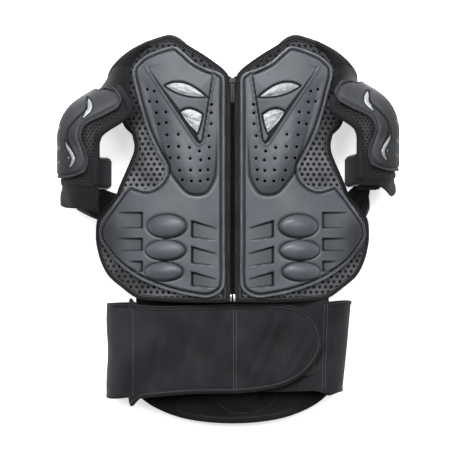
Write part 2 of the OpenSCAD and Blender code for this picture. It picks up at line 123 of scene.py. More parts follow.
def nearest(points: np.ndarray, outline: np.ndarray) -> tuple[np.ndarray, np.ndarray]:
    """Measure how far points lie inside a closed outline.

    Args:
        points: Places in plan, one row each.
        outline: The outline's corners, in order.

    Returns:
        The distance of each point from the outline, positive inside, and the outline's nearest place.
    """
    a, b = outline, np.roll(outline, -1, axis=0)
    run = b - a
    length = np.maximum((run**2).sum(1), 1e-12)
    distance = np.empty(len(points))
    place = np.empty((len(points), 2))
    for first in range(0, len(points), 4000):
        q = points[first:first + 4000]
        off = q[:, None, :] - a[None]
        t = np.clip((off * run[None]).sum(2) / length[None], 0, 1)
        close = a[None] + t[..., None] * run[None]
        far = ((q[:, None, :] - close) ** 2).sum(2)
        best = far.argmin(1)
        rows = np.arange(len(q))
        crosses = ((a[None, :, 1] > q[:, None, 1]) != (b[None, :, 1] > q[:, None, 1])) & (
            q[:, None, 0] < a[None, :, 0] + (q[:, None, 1] - a[None, :, 1]) * run[None, :, 0]
            / np.where(np.abs(run[None, :, 1]) < 1e-9, 1e-9, run[None, :, 1])
        )
        inside = crosses.sum(1) % 2 == 1
        distance[first:first + 4000] = np.sqrt(far[rows, best]) * np.where(inside, 1, -1)
        place[first:first + 4000] = close[rows, best]
    return distance, place


def depth_in(x: np.ndarray, y: np.ndarray, corners: Sequence[Point]) -> np.ndarray:
    """Return how far inside a polygon each place lies, negative outside."""
    return nearest(np.stack([x, y], axis=1), np.array(corners, float))[0]


def ripple(x: np.ndarray, y: np.ndarray, size: float, seed: float) -> np.ndarray:
    """Return gentle unevenness between about -1 and 1, with features of the given size."""
    k = 2 * math.pi / size
    return (
        np.sin(k * (x * 0.83 + y * 0.31) + seed) + np.sin(k * (x * -0.41 + y * 0.97) * 1.37 + 2.1 * seed)
        + np.sin(k * (x * 0.52 + y * 1.21) * 0.71 + 0.7 * seed + 1.3)
    ) / 3


# ---------------------------------------------------------------- the workbench


class Bench:
    """Blender's own modelling tools, used one piece at a time."""

    @staticmethod
    def only(obj: Object) -> None:
        """Select obj alone and make it active."""
        bpy.ops.object.select_all(action="DESELECT")
        obj.select_set(True)
        bpy.context.view_layer.objects.active = obj

    @staticmethod
    def named(name: str) -> Object:
        """Give the piece that has just been added its name."""
        obj = bpy.context.active_object
        obj.name = name
        obj.data.name = name
        return obj

    @staticmethod
    def points(obj: Object) -> np.ndarray:
        """Return the piece's vertices in millimetres."""
        co = np.empty(len(obj.data.vertices) * 3)
        obj.data.vertices.foreach_get("co", co)
        return co.reshape(-1, 3) / MM

    @staticmethod
    def place(obj: Object, points: np.ndarray) -> None:
        """Move the piece's vertices to points, in millimetres."""
        obj.data.vertices.foreach_set("co", (points * MM).ravel())
        obj.data.update()

    @classmethod
    def edit(cls, obj: Object, *steps: Callable[[], object], all_selected: bool = True) -> None:
        """Run edit-mode steps on the piece, with everything selected at first."""
        cls.only(obj)
        bpy.ops.object.mode_set(mode="EDIT")
        if all_selected:
            bpy.ops.mesh.select_all(action="SELECT")
        for step in steps:
            step()
        bpy.ops.object.mode_set(mode="OBJECT")

    @classmethod
    def apply(cls, obj: Object, kind: str, **settings: object) -> None:
        """Add a modifier with these settings and apply it."""
        cls.only(obj)
        modifier = obj.modifiers.new(kind.title(), kind)
        for key, value in settings.items():
            setattr(modifier, key, value)
        bpy.ops.object.modifier_apply(modifier=modifier.name)

    @classmethod
    def smooth(cls, obj: Object, angle: float = 35) -> Object:
        """Shade the piece smoothly, with creases at angles sharper than angle degrees."""
        cls.only(obj)
        bpy.ops.object.shade_smooth_by_angle(angle=math.radians(angle))
        return obj

    @classmethod
    def outwards(cls, obj: Object) -> None:
        """Merge doubled vertices and turn every face outwards."""
        cls.edit(
            obj,
            lambda: bpy.ops.mesh.remove_doubles(threshold=0.00002),
            lambda: bpy.ops.mesh.normals_make_consistent(inside=False),
        )

    @classmethod
    def grid(cls, name: str, across: int, along: int) -> Object:
        """Add a flat unit grid with this many cells each way."""
        bpy.ops.object.select_all(action="DESELECT")
        bpy.ops.mesh.primitive_grid_add(x_subdivisions=across, y_subdivisions=along, size=1)
        return cls.named(name)

    @classmethod
    def surface(cls, name: str, across: int, along: int, shape: Callable, size: Point = (1, 1)) -> Object:
        """Bend a grid into a surface.

        Args:
            name: The piece's name.
            across: Cells in the first direction.
            along: Cells in the second direction.
            shape: Takes the two parameters, each from 0 to 1, and returns points in millimetres.
            size: Real size of the sheet in millimetres, for the pattern that follows it.

        Returns:
            The new piece.
        """
        obj = cls.grid(name, across, along)
        flat = cls.points(obj) * MM + 0.5
        cls.place(obj, shape(flat[:, 0], flat[:, 1]))
        layer = obj.data.uv_layers.active.data
        uv = np.empty(len(layer) * 2)
        layer.foreach_get("uv", uv)
        layer.foreach_set("uv", (uv.reshape(-1, 2) * np.array(size) * MM).ravel())
        return obj

    @classmethod
    def relief(cls, name: str, outline: np.ndarray, step: float, height: Relief) -> Object:
        """Trim a grid to an outline and raise it by a height that depends on the place.

        Args:
            name: The piece's name.
            outline: Closed outline in plan, in millimetres.
            step: Cell size.
            height: Takes x, y and the distance from the edge, and returns z.

        Returns:
            An open sheet that faces up.
        """
        low, high = outline.min(0) - step, outline.max(0) + step
        cells = np.ceil((high - low) / step).astype(int)
        obj = cls.grid(name, int(cells[0]), int(cells[1]))
        flat = cls.points(obj)
        xy = (flat[:, :2] * MM + 0.5) * (high - low) + low
        inside, _ = nearest(xy, outline)
        flat[:, :2] = xy
        flat[:, 2] = 0
        cls.place(obj, flat)
        obj.data.vertices.foreach_set("select", inside < -0.5 * step)
        cls.only(obj)
        bpy.ops.object.mode_set(mode="EDIT")
        bpy.ops.mesh.select_mode(type="VERT")
        bpy.ops.mesh.select_all(action="DESELECT")
        mesh = bmesh.from_edit_mesh(obj.data)
        mesh.verts.ensure_lookup_table()
        for index in np.flatnonzero(inside < -0.5 * step):
            mesh.verts[index].select = True
        bmesh.update_edit_mesh(obj.data)
        bpy.ops.mesh.delete(type="VERT")
        bpy.ops.mesh.select_all(action="SELECT")
        bpy.ops.mesh.delete_loose(use_verts=True, use_edges=True, use_faces=False)
        bpy.ops.object.mode_set(mode="OBJECT")
        mesh = bmesh.new()
        mesh.from_mesh(obj.data)
        rim = np.array([v.is_boundary for v in mesh.verts])
        mesh.free()
        flat = cls.points(obj)
        inside, place = nearest(flat[:, :2], outline)
        flat[rim, :2] = place[rim]
        inside[rim] = 0
        flat[:, 2] = height(flat[:, 0], flat[:, 1], np.maximum(inside, 0))
        cls.place(obj, flat)
        return obj

    @classmethod
    def thicken(cls, obj: Object, thickness: float, offset: float = -1) -> Object:
        """Give a sheet its thickness in millimetres, downwards unless offset is 1."""
        cls.apply(obj, "SOLIDIFY", thickness=thickness * MM, offset=offset, use_even_offset=False)
        return obj

    @classmethod
    def sweep(cls, name: str, path: np.ndarray, up: np.ndarray, profile: np.ndarray, closed: bool) -> Object:
        """Run a closed profile along a path.

        Args:
            name: The piece's name.
            path: Points in millimetres.
            up: The direction of the profile's height at each point.
            profile: Closed cross-section, as (sideways, up) in millimetres.
            closed: Whether the path joins up with its start.

        Returns:
            A closed solid.
        """
        ahead = np.roll(path, -1, 0) - np.roll(path, 1, 0)
        if closed:
            path, up, ahead = (np.vstack([a, a[:1]]) for a in (path, up, ahead))
        else:
            ahead[0], ahead[-1] = path[1] - path[0], path[-1] - path[-2]
        ahead /= np.linalg.norm(ahead, axis=1)[:, None]
        side = np.cross(ahead, up)
        side /= np.linalg.norm(side, axis=1)[:, None]
        above = np.cross(side, ahead)
        loop = np.vstack([profile, profile[:1]])
        rows, columns = len(path), len(loop)
        length = np.linalg.norm(np.diff(path, axis=0), axis=1).sum()
        girth = np.linalg.norm(np.diff(loop, axis=0), axis=1).sum()

        def shape(u: np.ndarray, v: np.ndarray) -> np.ndarray:
            """Place each vertex of the grid on the swept profile."""
            i = np.rint(v * (rows - 1)).astype(int)
            j = np.rint(u * (columns - 1)).astype(int)
            return path[i] + side[i] * loop[j, :1] + above[i] * loop[j, 1:]

        obj = cls.surface(name, columns - 1, rows - 1, shape, (girth, length))
        if not closed:
            cls.edit(
                obj,
                lambda: bpy.ops.mesh.remove_doubles(threshold=0.00002),
                lambda: bpy.ops.mesh.fill_holes(sides=0),
            )
        cls.outwards(obj)
        return obj

    @classmethod
    def prism(cls, name: str, outline: np.ndarray, low: float, high: float) -> Object:
        """Stand a flat outline up from low to high."""
        bpy.ops.object.select_all(action="DESELECT")
        bpy.ops.mesh.primitive_circle_add(vertices=len(outline), fill_type="NGON")
        obj = cls.named(name)
        cls.place(obj, np.column_stack([outline, np.full(len(outline), low)]))
        cls.edit(
            obj,
            lambda: bpy.ops.mesh.extrude_region_move(TRANSFORM_OT_translate={"value": (0, 0, (high - low) * MM)}),
            lambda: bpy.ops.mesh.select_all(action="SELECT"),
            lambda: bpy.ops.mesh.normals_make_consistent(inside=False),
        )
        return obj

    @classmethod
    def cut(cls, obj: Object, cutter: Object) -> None:
        """Cut a closed piece with another and throw the cutter away."""
        before = len(obj.data.polygons)
        cls.apply(obj, "BOOLEAN", operation="DIFFERENCE", object=cutter, solver="MANIFOLD")
        if len(obj.data.polygons) in (0, before):
            LOG.warning("%s: the cut left the mesh as it was", obj.name)
        bpy.data.objects.remove(cutter, do_unlink=True)

    @classmethod
    def join(cls, name: str, pieces: Sequence[Object]) -> Object:
        """Join pieces into one."""
        bpy.ops.object.select_all(action="DESELECT")
        for piece in pieces:
            piece.select_set(True)
        bpy.context.view_layer.objects.active = pieces[0]
        if len(pieces) > 1:
            bpy.ops.object.join()
        return cls.named(name)

    @classmethod
    def copies(cls, name: str, pattern: Object, places: np.ndarray, turns: np.ndarray) -> Object:
        """Copy one modelled shape to many places, as one piece.

        Args:
            name: The piece's name.
            pattern: The shape, modelled round the origin; it is thrown away.
            places: Where each copy goes, in millimetres.
            turns: Each copy's axes, as columns of a 3 by 3 matrix.

        Returns:
            The joined copies.
        """
        base = cls.points(pattern)
        faces = [list(p.vertices) for p in pattern.data.polygons]
        points = np.einsum("nij,kj->nki", turns, base) + places[:, None, :]
        mesh = bpy.data.meshes.new(name)
        mesh.from_pydata(
            (points.reshape(-1, 3) * MM).tolist(), [],
            [[v + len(base) * n for v in face] for n in range(len(places)) for face in faces],
        )
        bpy.data.objects.remove(pattern, do_unlink=True)
        obj = bpy.data.objects.new(name, mesh)
        bpy.context.collection.objects.link(obj)
        return cls.smooth(obj, 60)

    @classmethod
    def bead(cls, length: float, radius: float, sides: int = 6) -> Object:
        """Model one stitch: a small bead with its length along Y."""
        bpy.ops.object.select_all(action="DESELECT")
        bpy.ops.mesh.primitive_uv_sphere_add(segments=sides, ring_count=4, radius=1)
        obj = cls.named("bead")
        cls.place(obj, cls.points(obj) * MM * np.array([radius, radius, length / 2]))
        flat = cls.points(obj)
        cls.place(obj, flat[:, [0, 2, 1]] * np.array([1, 1, -1]))
        return obj

    @classmethod
    def stitches(cls, name: str, path: np.ndarray, up: np.ndarray, pitch: float = 3.4, radius: float = 0.32) -> Object:
        """Sew a row of stitches along a path that is sampled at one point a stitch."""
        ahead = np.roll(path, -1, 0) - np.roll(path, 1, 0)
        ahead[0], ahead[-1] = path[1] - path[0], path[-1] - path[-2]
        ahead /= np.linalg.norm(ahead, axis=1)[:, None]
        side = np.cross(ahead, up)
        side /= np.linalg.norm(side, axis=1)[:, None]
        turns = np.stack([side, ahead, np.cross(side, ahead)], axis=2)
        return cls.copies(name, cls.bead(pitch * 0.74, radius), path, turns)

    @classmethod
    def shade(cls, obj: Object, depth: Callable[[np.ndarray, np.ndarray], np.ndarray]) -> None:
        """Note on every vertex how much painted shade it gets, from 0 to 1, for the finishes."""
        points = cls.points(obj)
        note = obj.data.attributes.new("recess", "FLOAT", "POINT")
        note.data.foreach_set("value", np.clip(depth(points[:, 0], points[:, 1]), 0, 1).astype(np.float32))

    @classmethod
    def mirrored(cls, obj: Object, name: str, centre: float) -> Object:
        """Copy a piece to the other side of the plane x = centre, in millimetres."""
        twin = obj.copy()
        twin.data = obj.data.copy()
        twin.name = twin.data.name = name
        bpy.context.collection.objects.link(twin)
        points = cls.points(twin)
        points[:, 0] = 2 * centre - points[:, 0]
        cls.place(twin, points)
        cls.edit(twin, lambda: bpy.ops.mesh.flip_normals())
        return twin

    @classmethod
    def puff(cls, obj: Object, voxel: float, pressure: float, cap: float) -> None:
        """Swell a closed shape like stuffed fabric by cloth simulation.

        Args:
            obj: The closed piece; its mesh is replaced by the swollen one.
            voxel: Size of the remesh, in millimetres.
            pressure: Pressure inside.
            cap: The most that a point may move, in millimetres.
        """
        cls.apply(obj, "REMESH", mode="VOXEL", voxel_size=voxel * MM)
        start = cls.points(obj)
        modifier = obj.modifiers.new("Cloth", "CLOTH")
        modifier.settings.use_pressure = True
        modifier.settings.uniform_pressure_force = pressure
        modifier.settings.effector_weights.gravity = 0
        modifier.settings.tension_stiffness = 25
        for step in range(1, 15):
            bpy.context.scene.frame_set(step)
        cls.only(obj)
        bpy.ops.object.modifier_apply(modifier=modifier.name)
        bpy.context.scene.frame_set(1)
        moved = cls.points(obj) - start
        far = np.maximum(np.linalg.norm(moved, axis=1), 1e-9)
        cls.place(obj, start + moved * (np.minimum(far, cap) / far)[:, None])
        cls.apply(obj, "SMOOTH", factor=0.5, iterations=2)
        cls.apply(obj, "SUBSURF", levels=1, render_levels=1)


# ---------------------------------------------------------------- finishes


class Shading:
    """Builds the nodes of one material or node group."""

    def __init__(self, tree: bpy.types.NodeTree) -> None:
        """Start on an empty tree."""
        self.tree = tree
        tree.nodes.clear()

    def node(self, kind: str, inputs: dict | None = None, **settings: object) -> bpy.types.Node:
        """Add a node; inputs hold values or the sockets that feed them."""
        made = self.tree.nodes.new(kind)
        for key, value in settings.items():
            setattr(made, key, value)
        for key, value in (inputs or {}).items():
            if isinstance(value, bpy.types.NodeSocket):
                self.tree.links.new(value, made.inputs[key])
            else:
                made.inputs[key].default_value = value
        return made

    def math(self, operation: str, a: object, b: object = 0.0, c: object = 0.0) -> bpy.types.NodeSocket:
        """Return the result of a math node."""
        return self.node("ShaderNodeMath", {0: a, 1: b, 2: c}, operation=operation).outputs[0]

    def blend(self, share: object, a: object, b: object) -> bpy.types.NodeSocket:
        """Mix two colours."""
        mix = self.node("ShaderNodeMix", {0: share, 6: a, 7: b}, data_type="RGBA")
        return mix.outputs[2]

    def span(self, value: object, low: float, high: float, to_low: float, to_high: float) -> bpy.types.NodeSocket:
        """Map a range of values to another."""
        return self.node("ShaderNodeMapRange", {0: value, 1: low, 2: high, 3: to_low, 4: to_high}).outputs[0]

    def noise(self, vector: object, scale: object, detail: float = 3) -> bpy.types.NodeSocket:
        """Return a noise value."""
        return self.node("ShaderNodeTexNoise", {"Vector": vector, "Scale": scale, "Detail": detail}).outputs[0]


class Effect(Enum):
    """Surface effects that several finishes share, each a node group."""

    GRAIN = "moulded grain"
    # This group gives rubbed edges and also the painted shade in creases.
    WEAR = "edge wear"
    DUST = "settled dust"
    WEAVE = "crossed threads"
    RIBS = "tape ribs"
    HONEYCOMB = "honeycomb knit"
    FUZZ = "brushed fuzz"


class Effects:
    """Makes each node group once and hands it out."""

    def __init__(self) -> None:
        """Start with no groups made."""
        self.made: dict[Effect, bpy.types.NodeTree] = {}

    def get(self, effect: Effect) -> bpy.types.NodeTree:
        """Return the group of an effect, made at its first use."""
        if effect not in self.made:
            tree = bpy.data.node_groups.new(effect.value, "ShaderNodeTree")
            sheet = Shading(tree)
            for name, kind, value in self.INPUTS[effect]:
                socket = tree.interface.new_socket(name, in_out="INPUT", socket_type=kind)
                if value is not None:
                    socket.default_value = value
            for name in self.OUTPUTS[effect]:
                tree.interface.new_socket(name, in_out="OUTPUT", socket_type="NodeSocketFloat")
            given = sheet.node("NodeGroupInput").outputs
            result = getattr(self, "_" + effect.name.lower())(sheet, given)
            sheet.node("NodeGroupOutput", dict(zip(self.OUTPUTS[effect], result)))
            self.made[effect] = tree
        return self.made[effect]

    VECTOR = ("Vector", "NodeSocketVector", None)
    FLOAT = "NodeSocketFloat"
    INPUTS = {
        Effect.GRAIN: [VECTOR, ("Scale", FLOAT, 900.0), ("Patch", FLOAT, 18.0)],
        Effect.WEAR: [VECTOR, ("Scale", FLOAT, 60.0), ("Amount", FLOAT, 0.5)],
        Effect.DUST: [VECTOR, ("Scale", FLOAT, 30.0), ("Amount", FLOAT, 0.2)],
        Effect.WEAVE: [VECTOR, ("Threads", FLOAT, 1400.0), ("Unevenness", FLOAT, 0.2)],
        Effect.RIBS: [VECTOR, ("Ribs", FLOAT, 900.0), ("Cross", FLOAT, 500.0)],
        Effect.HONEYCOMB: [VECTOR, ("Pitch", FLOAT, 0.007), ("Wall", FLOAT, 0.14)],
        Effect.FUZZ: [VECTOR, ("Scale", FLOAT, 1600.0), ("Patch", FLOAT, 22.0)],
    }
    OUTPUTS = {
        Effect.GRAIN: ["Height", "Patches"],
        Effect.WEAR: ["Mask", "Creases"],
        Effect.DUST: ["Mask"],
        Effect.WEAVE: ["Height", "Gaps"],
        Effect.RIBS: ["Height", "Gaps"],
        Effect.HONEYCOMB: ["Height", "Holes", "Fibres"],
        Effect.FUZZ: ["Height", "Patches"],
    }

    @staticmethod
    def _grain(s: Shading, given: object) -> list:
        """Fine pebbled grain and slow patches of gloss."""
        cells = s.node("ShaderNodeTexVoronoi", {"Vector": given[0], "Scale": given[1]}, feature="F1").outputs[0]
        fine = s.noise(given[0], s.math("MULTIPLY", given[1], 1.9), 2)
        return [
            s.math("ADD", s.math("MULTIPLY", cells, 0.7), s.math("MULTIPLY", fine, 0.5)),
            s.noise(given[0], given[2], 4)
        ]

    @staticmethod
    def _wear(s: Shading, given: object) -> list:
        """Where convex edges rub, broken up by noise, and painted shade in the creases."""
        pointed = s.node("ShaderNodeNewGeometry").outputs["Pointiness"]
        edge = s.span(pointed, 0.515, 0.6, 0, 1)
        broken = s.span(s.noise(given[0], given[1], 6), 0.35, 0.7, 0.25, 1)
        return [s.math("MULTIPLY", s.math("MULTIPLY", edge, broken), given[2]), s.span(pointed, 0.492, 0.44, 0, 1)]

    @staticmethod
    def _dust(s: Shading, given: object) -> list:
        """Dust that lies on what faces up, in patches."""
        up = s.node("ShaderNodeSeparateXYZ", {0: s.node("ShaderNodeNewGeometry").outputs["Normal"]}).outputs[2]
        flat = s.span(up, 0.55, 1, 0, 1)
        cloud = s.span(s.noise(given[0], given[1], 8), 0.45, 0.75, 0.1, 1)
        return [s.math("MULTIPLY", s.math("MULTIPLY", flat, cloud), given[2])]

    @staticmethod
    def _weave(s: Shading, given: object) -> list:
        """Threads that pass over and under each other."""
        split = s.node("ShaderNodeSeparateXYZ", {0: given[0]}).outputs
        shake = s.math("MULTIPLY", s.noise(given[0], 260, 3), given[2])
        u = s.math(
            "MULTIPLY", s.math("ADD", s.math("MULTIPLY", split[0], given[1]), s.math("MULTIPLY", shake, 6.0)), math.pi
        )
        v = s.math(
            "MULTIPLY", s.math("ADD", s.math("MULTIPLY", split[1], given[1]), s.math("MULTIPLY", shake, 6.0)), math.pi
        )
        over = s.math("MULTIPLY", s.math("SINE", u), s.math("SINE", v))
        lift = s.math("ABSOLUTE", over)
        warp = s.math("MULTIPLY", s.math("ABSOLUTE", s.math("SINE", u)), s.math("GREATER_THAN", over, 0.0))
        weft = s.math("MULTIPLY", s.math("ABSOLUTE", s.math("SINE", v)), s.math("LESS_THAN", over, 0.0))
        return [s.math("ADD", s.math("ADD", warp, weft), s.math("MULTIPLY", lift, 0.4)), s.span(lift, 0.0, 0.35, 1, 0)]

    @staticmethod
    def _ribs(s: Shading, given: object) -> list:
        """Cords that run across or along a tape, crossed by fine threads."""
        split = s.node("ShaderNodeSeparateXYZ", {0: given[0]}).outputs
        rib = s.math("ABSOLUTE", s.math("SINE", s.math("MULTIPLY", split[1], s.math("MULTIPLY", given[1], math.pi))))
        thread = s.math("ABSOLUTE", s.math("SINE", s.math("MULTIPLY", split[0], s.math("MULTIPLY", given[2], math.pi))))
        uneven = s.noise(given[0], 300, 3)
        height = s.math("ADD", rib, s.math("ADD", s.math("MULTIPLY", thread, 0.35), s.math("MULTIPLY", uneven, 0.3)))
        return [height, s.span(rib, 0.0, 0.4, 1, 0)]

    @staticmethod
    def _honeycomb(s: Shading, given: object) -> list:
        """Six-sided holes in a knit, with fibres on the walls between them."""
        near = []
        split = s.node("ShaderNodeSeparateXYZ", {0: given[0]}).outputs
        u = s.math("DIVIDE", split[0], given[1])
        v = s.math("DIVIDE", split[1], s.math("MULTIPLY", given[1], 1.732))
        for shift in (0.0, 0.5):
            a = s.math("ABSOLUTE", s.math("SUBTRACT", s.math("FRACT", s.math("ADD", u, 100 + shift)), 0.5))
            b = s.math(
                "MULTIPLY",
                s.math("ABSOLUTE", s.math("SUBTRACT", s.math("FRACT", s.math("ADD", v, 100 + shift)), 0.5)), 1.732
            )
            slant = s.math("ADD", s.math("MULTIPLY", a, 0.5), s.math("MULTIPLY", b, 0.866))
            near.append(s.math("MAXIMUM", a, slant))
        cell = s.math("MINIMUM", near[0], near[1])
        wall = s.math("SUBTRACT", 0.5, given[2])
        holes = s.node(
            "ShaderNodeMapRange",
            {0: cell, 1: s.math("SUBTRACT", wall, 0.08), 2: s.math("ADD", wall, 0.04), 3: 1.0, 4: 0.0}
        ).outputs[0]
        fibres = s.noise(given[0], 1500, 4)
        return [s.math("SUBTRACT", s.math("MULTIPLY", fibres, 0.25), holes), holes, fibres]

    @staticmethod
    def _fuzz(s: Shading, given: object) -> list:
        """Tiny loops of brushed fabric and slow changes of its nap."""
        loops = s.node("ShaderNodeTexVoronoi", {"Vector": given[0], "Scale": given[1]}, feature="SMOOTH_F1").outputs[0]
        hair = s.noise(given[0], s.math("MULTIPLY", given[1], 0.5), 5)
        return [s.math("ADD", loops, hair), s.noise(given[0], given[2], 5)]


class Coordinates(Enum):
    """What a finish's pattern follows."""

    PLACE = "Object"
    SURFACE = "UV"


@dataclass(frozen=True)
class Finish:
    """One real material and how its surface looks."""

    name: str
    colour: tuple[float, float, float]
    light: tuple[float, float, float]
    roughness: tuple[float, float]
    effect: Effect
    settings: tuple[float, float]
    bump: float
    follows: Coordinates = Coordinates.PLACE
    metallic: float = 0.0
    sheen: float = 0.0
    coat: float = 0.0
    # Scales the rubbed edges; any value above zero also turns on the painted shade in creases.
    wear: float = 0.0
    dust: float = 0.0
    specular: float = 0.5
    turn: float = 0.0
    gaps: float = 0.35
    glow: float = 0.0

    def build(self, effects: Effects) -> Material:
        """Make the material from its effect, rubbed edges, painted shade in creases and hollows, and dust."""
        material = bpy.data.materials.new(self.name)
        material.use_nodes = True
        s = Shading(material.node_tree)
        place = s.node("ShaderNodeTexCoord").outputs[self.follows.value]
        if self.turn:
            place = s.node("ShaderNodeMapping", {0: place, 2: (0, 0, math.radians(self.turn))}).outputs[0]
        pattern = s.node("ShaderNodeGroup", node_tree=effects.get(self.effect))
        s.tree.links.new(place, pattern.inputs[0])
        pattern.inputs[1].default_value, pattern.inputs[2].default_value = self.settings
        patches = s.noise(place, 24, 4)
        mask = pattern.outputs[1]
        if self.effect in (Effect.GRAIN, Effect.FUZZ):
            mask = s.span(mask, 0.3, 0.7, 0, 1)
        dark = tuple(c * self.gaps for c in self.colour)
        deep = self.effect in (Effect.WEAVE, Effect.RIBS, Effect.HONEYCOMB)
        colour = s.blend(s.span(patches, 0.3, 0.7, 0, 1), (*self.colour, 1), (*self.light, 1))
        if deep:
            colour = s.blend(mask, colour, (*dark, 1))
        else:
            colour = s.blend(s.math("MULTIPLY", mask, 0.5), colour, (*self.light, 1))
        rough = s.span(mask, 0, 1, self.roughness[0], self.roughness[1])
        if self.wear:
            worn_and_shaded = s.node("ShaderNodeGroup", {1: 90.0, 2: self.wear}, node_tree=effects.get(Effect.WEAR))
            s.tree.links.new(place, worn_and_shaded.inputs[0])
            pale = tuple(min(1.0, c * 2.6 + 0.03) for c in self.light)
            colour = s.blend(worn_and_shaded.outputs[0], colour, (*pale, 1))
            # Painted shade: concave creases are darkened towards black.
            colour = s.blend(worn_and_shaded.outputs[1], colour, (0.002, 0.002, 0.0025, 1))
            rough = s.math("ADD", rough, s.math("MULTIPLY", worn_and_shaded.outputs[1], 0.4))
        # Painted shade: the per-vertex mask written by Bench.shade darkens hollows, grooves and sides turned from the
        # light towards black.
        recess = s.node("ShaderNodeAttribute", attribute_name="recess").outputs["Fac"]
        colour = s.blend(recess, colour, (0.0015, 0.0015, 0.002, 1))
        rough = s.math("ADD", rough, s.math("MULTIPLY", recess, 0.4))
        if self.dust:
            settled = s.node("ShaderNodeGroup", {1: 26.0, 2: self.dust}, node_tree=effects.get(Effect.DUST))
            s.tree.links.new(place, settled.inputs[0])
            colour = s.blend(settled.outputs[0], colour, (0.2, 0.195, 0.19, 1))
            rough = s.math("ADD", rough, s.math("MULTIPLY", settled.outputs[0], 0.3))
        bump = s.node("ShaderNodeBump", {"Strength": 1.0, "Distance": self.bump * MM, "Height": pattern.outputs[0]})
        shader = s.node(
            "ShaderNodeBsdfPrincipled",
            {
                "Base Color": colour, "Roughness": rough, "Metallic": self.metallic, "Normal": bump.outputs[0],
                "Sheen Weight": self.sheen, "Sheen Roughness": 0.5, "Coat Weight": self.coat,
                "Coat Roughness": 0.25, "Specular IOR Level": self.specular,
                "Emission Color": (1, 1, 1, 1), "Emission Strength": self.glow,
            },
        )
        s.node("ShaderNodeOutputMaterial", {0: shader.outputs[0]})
        return material


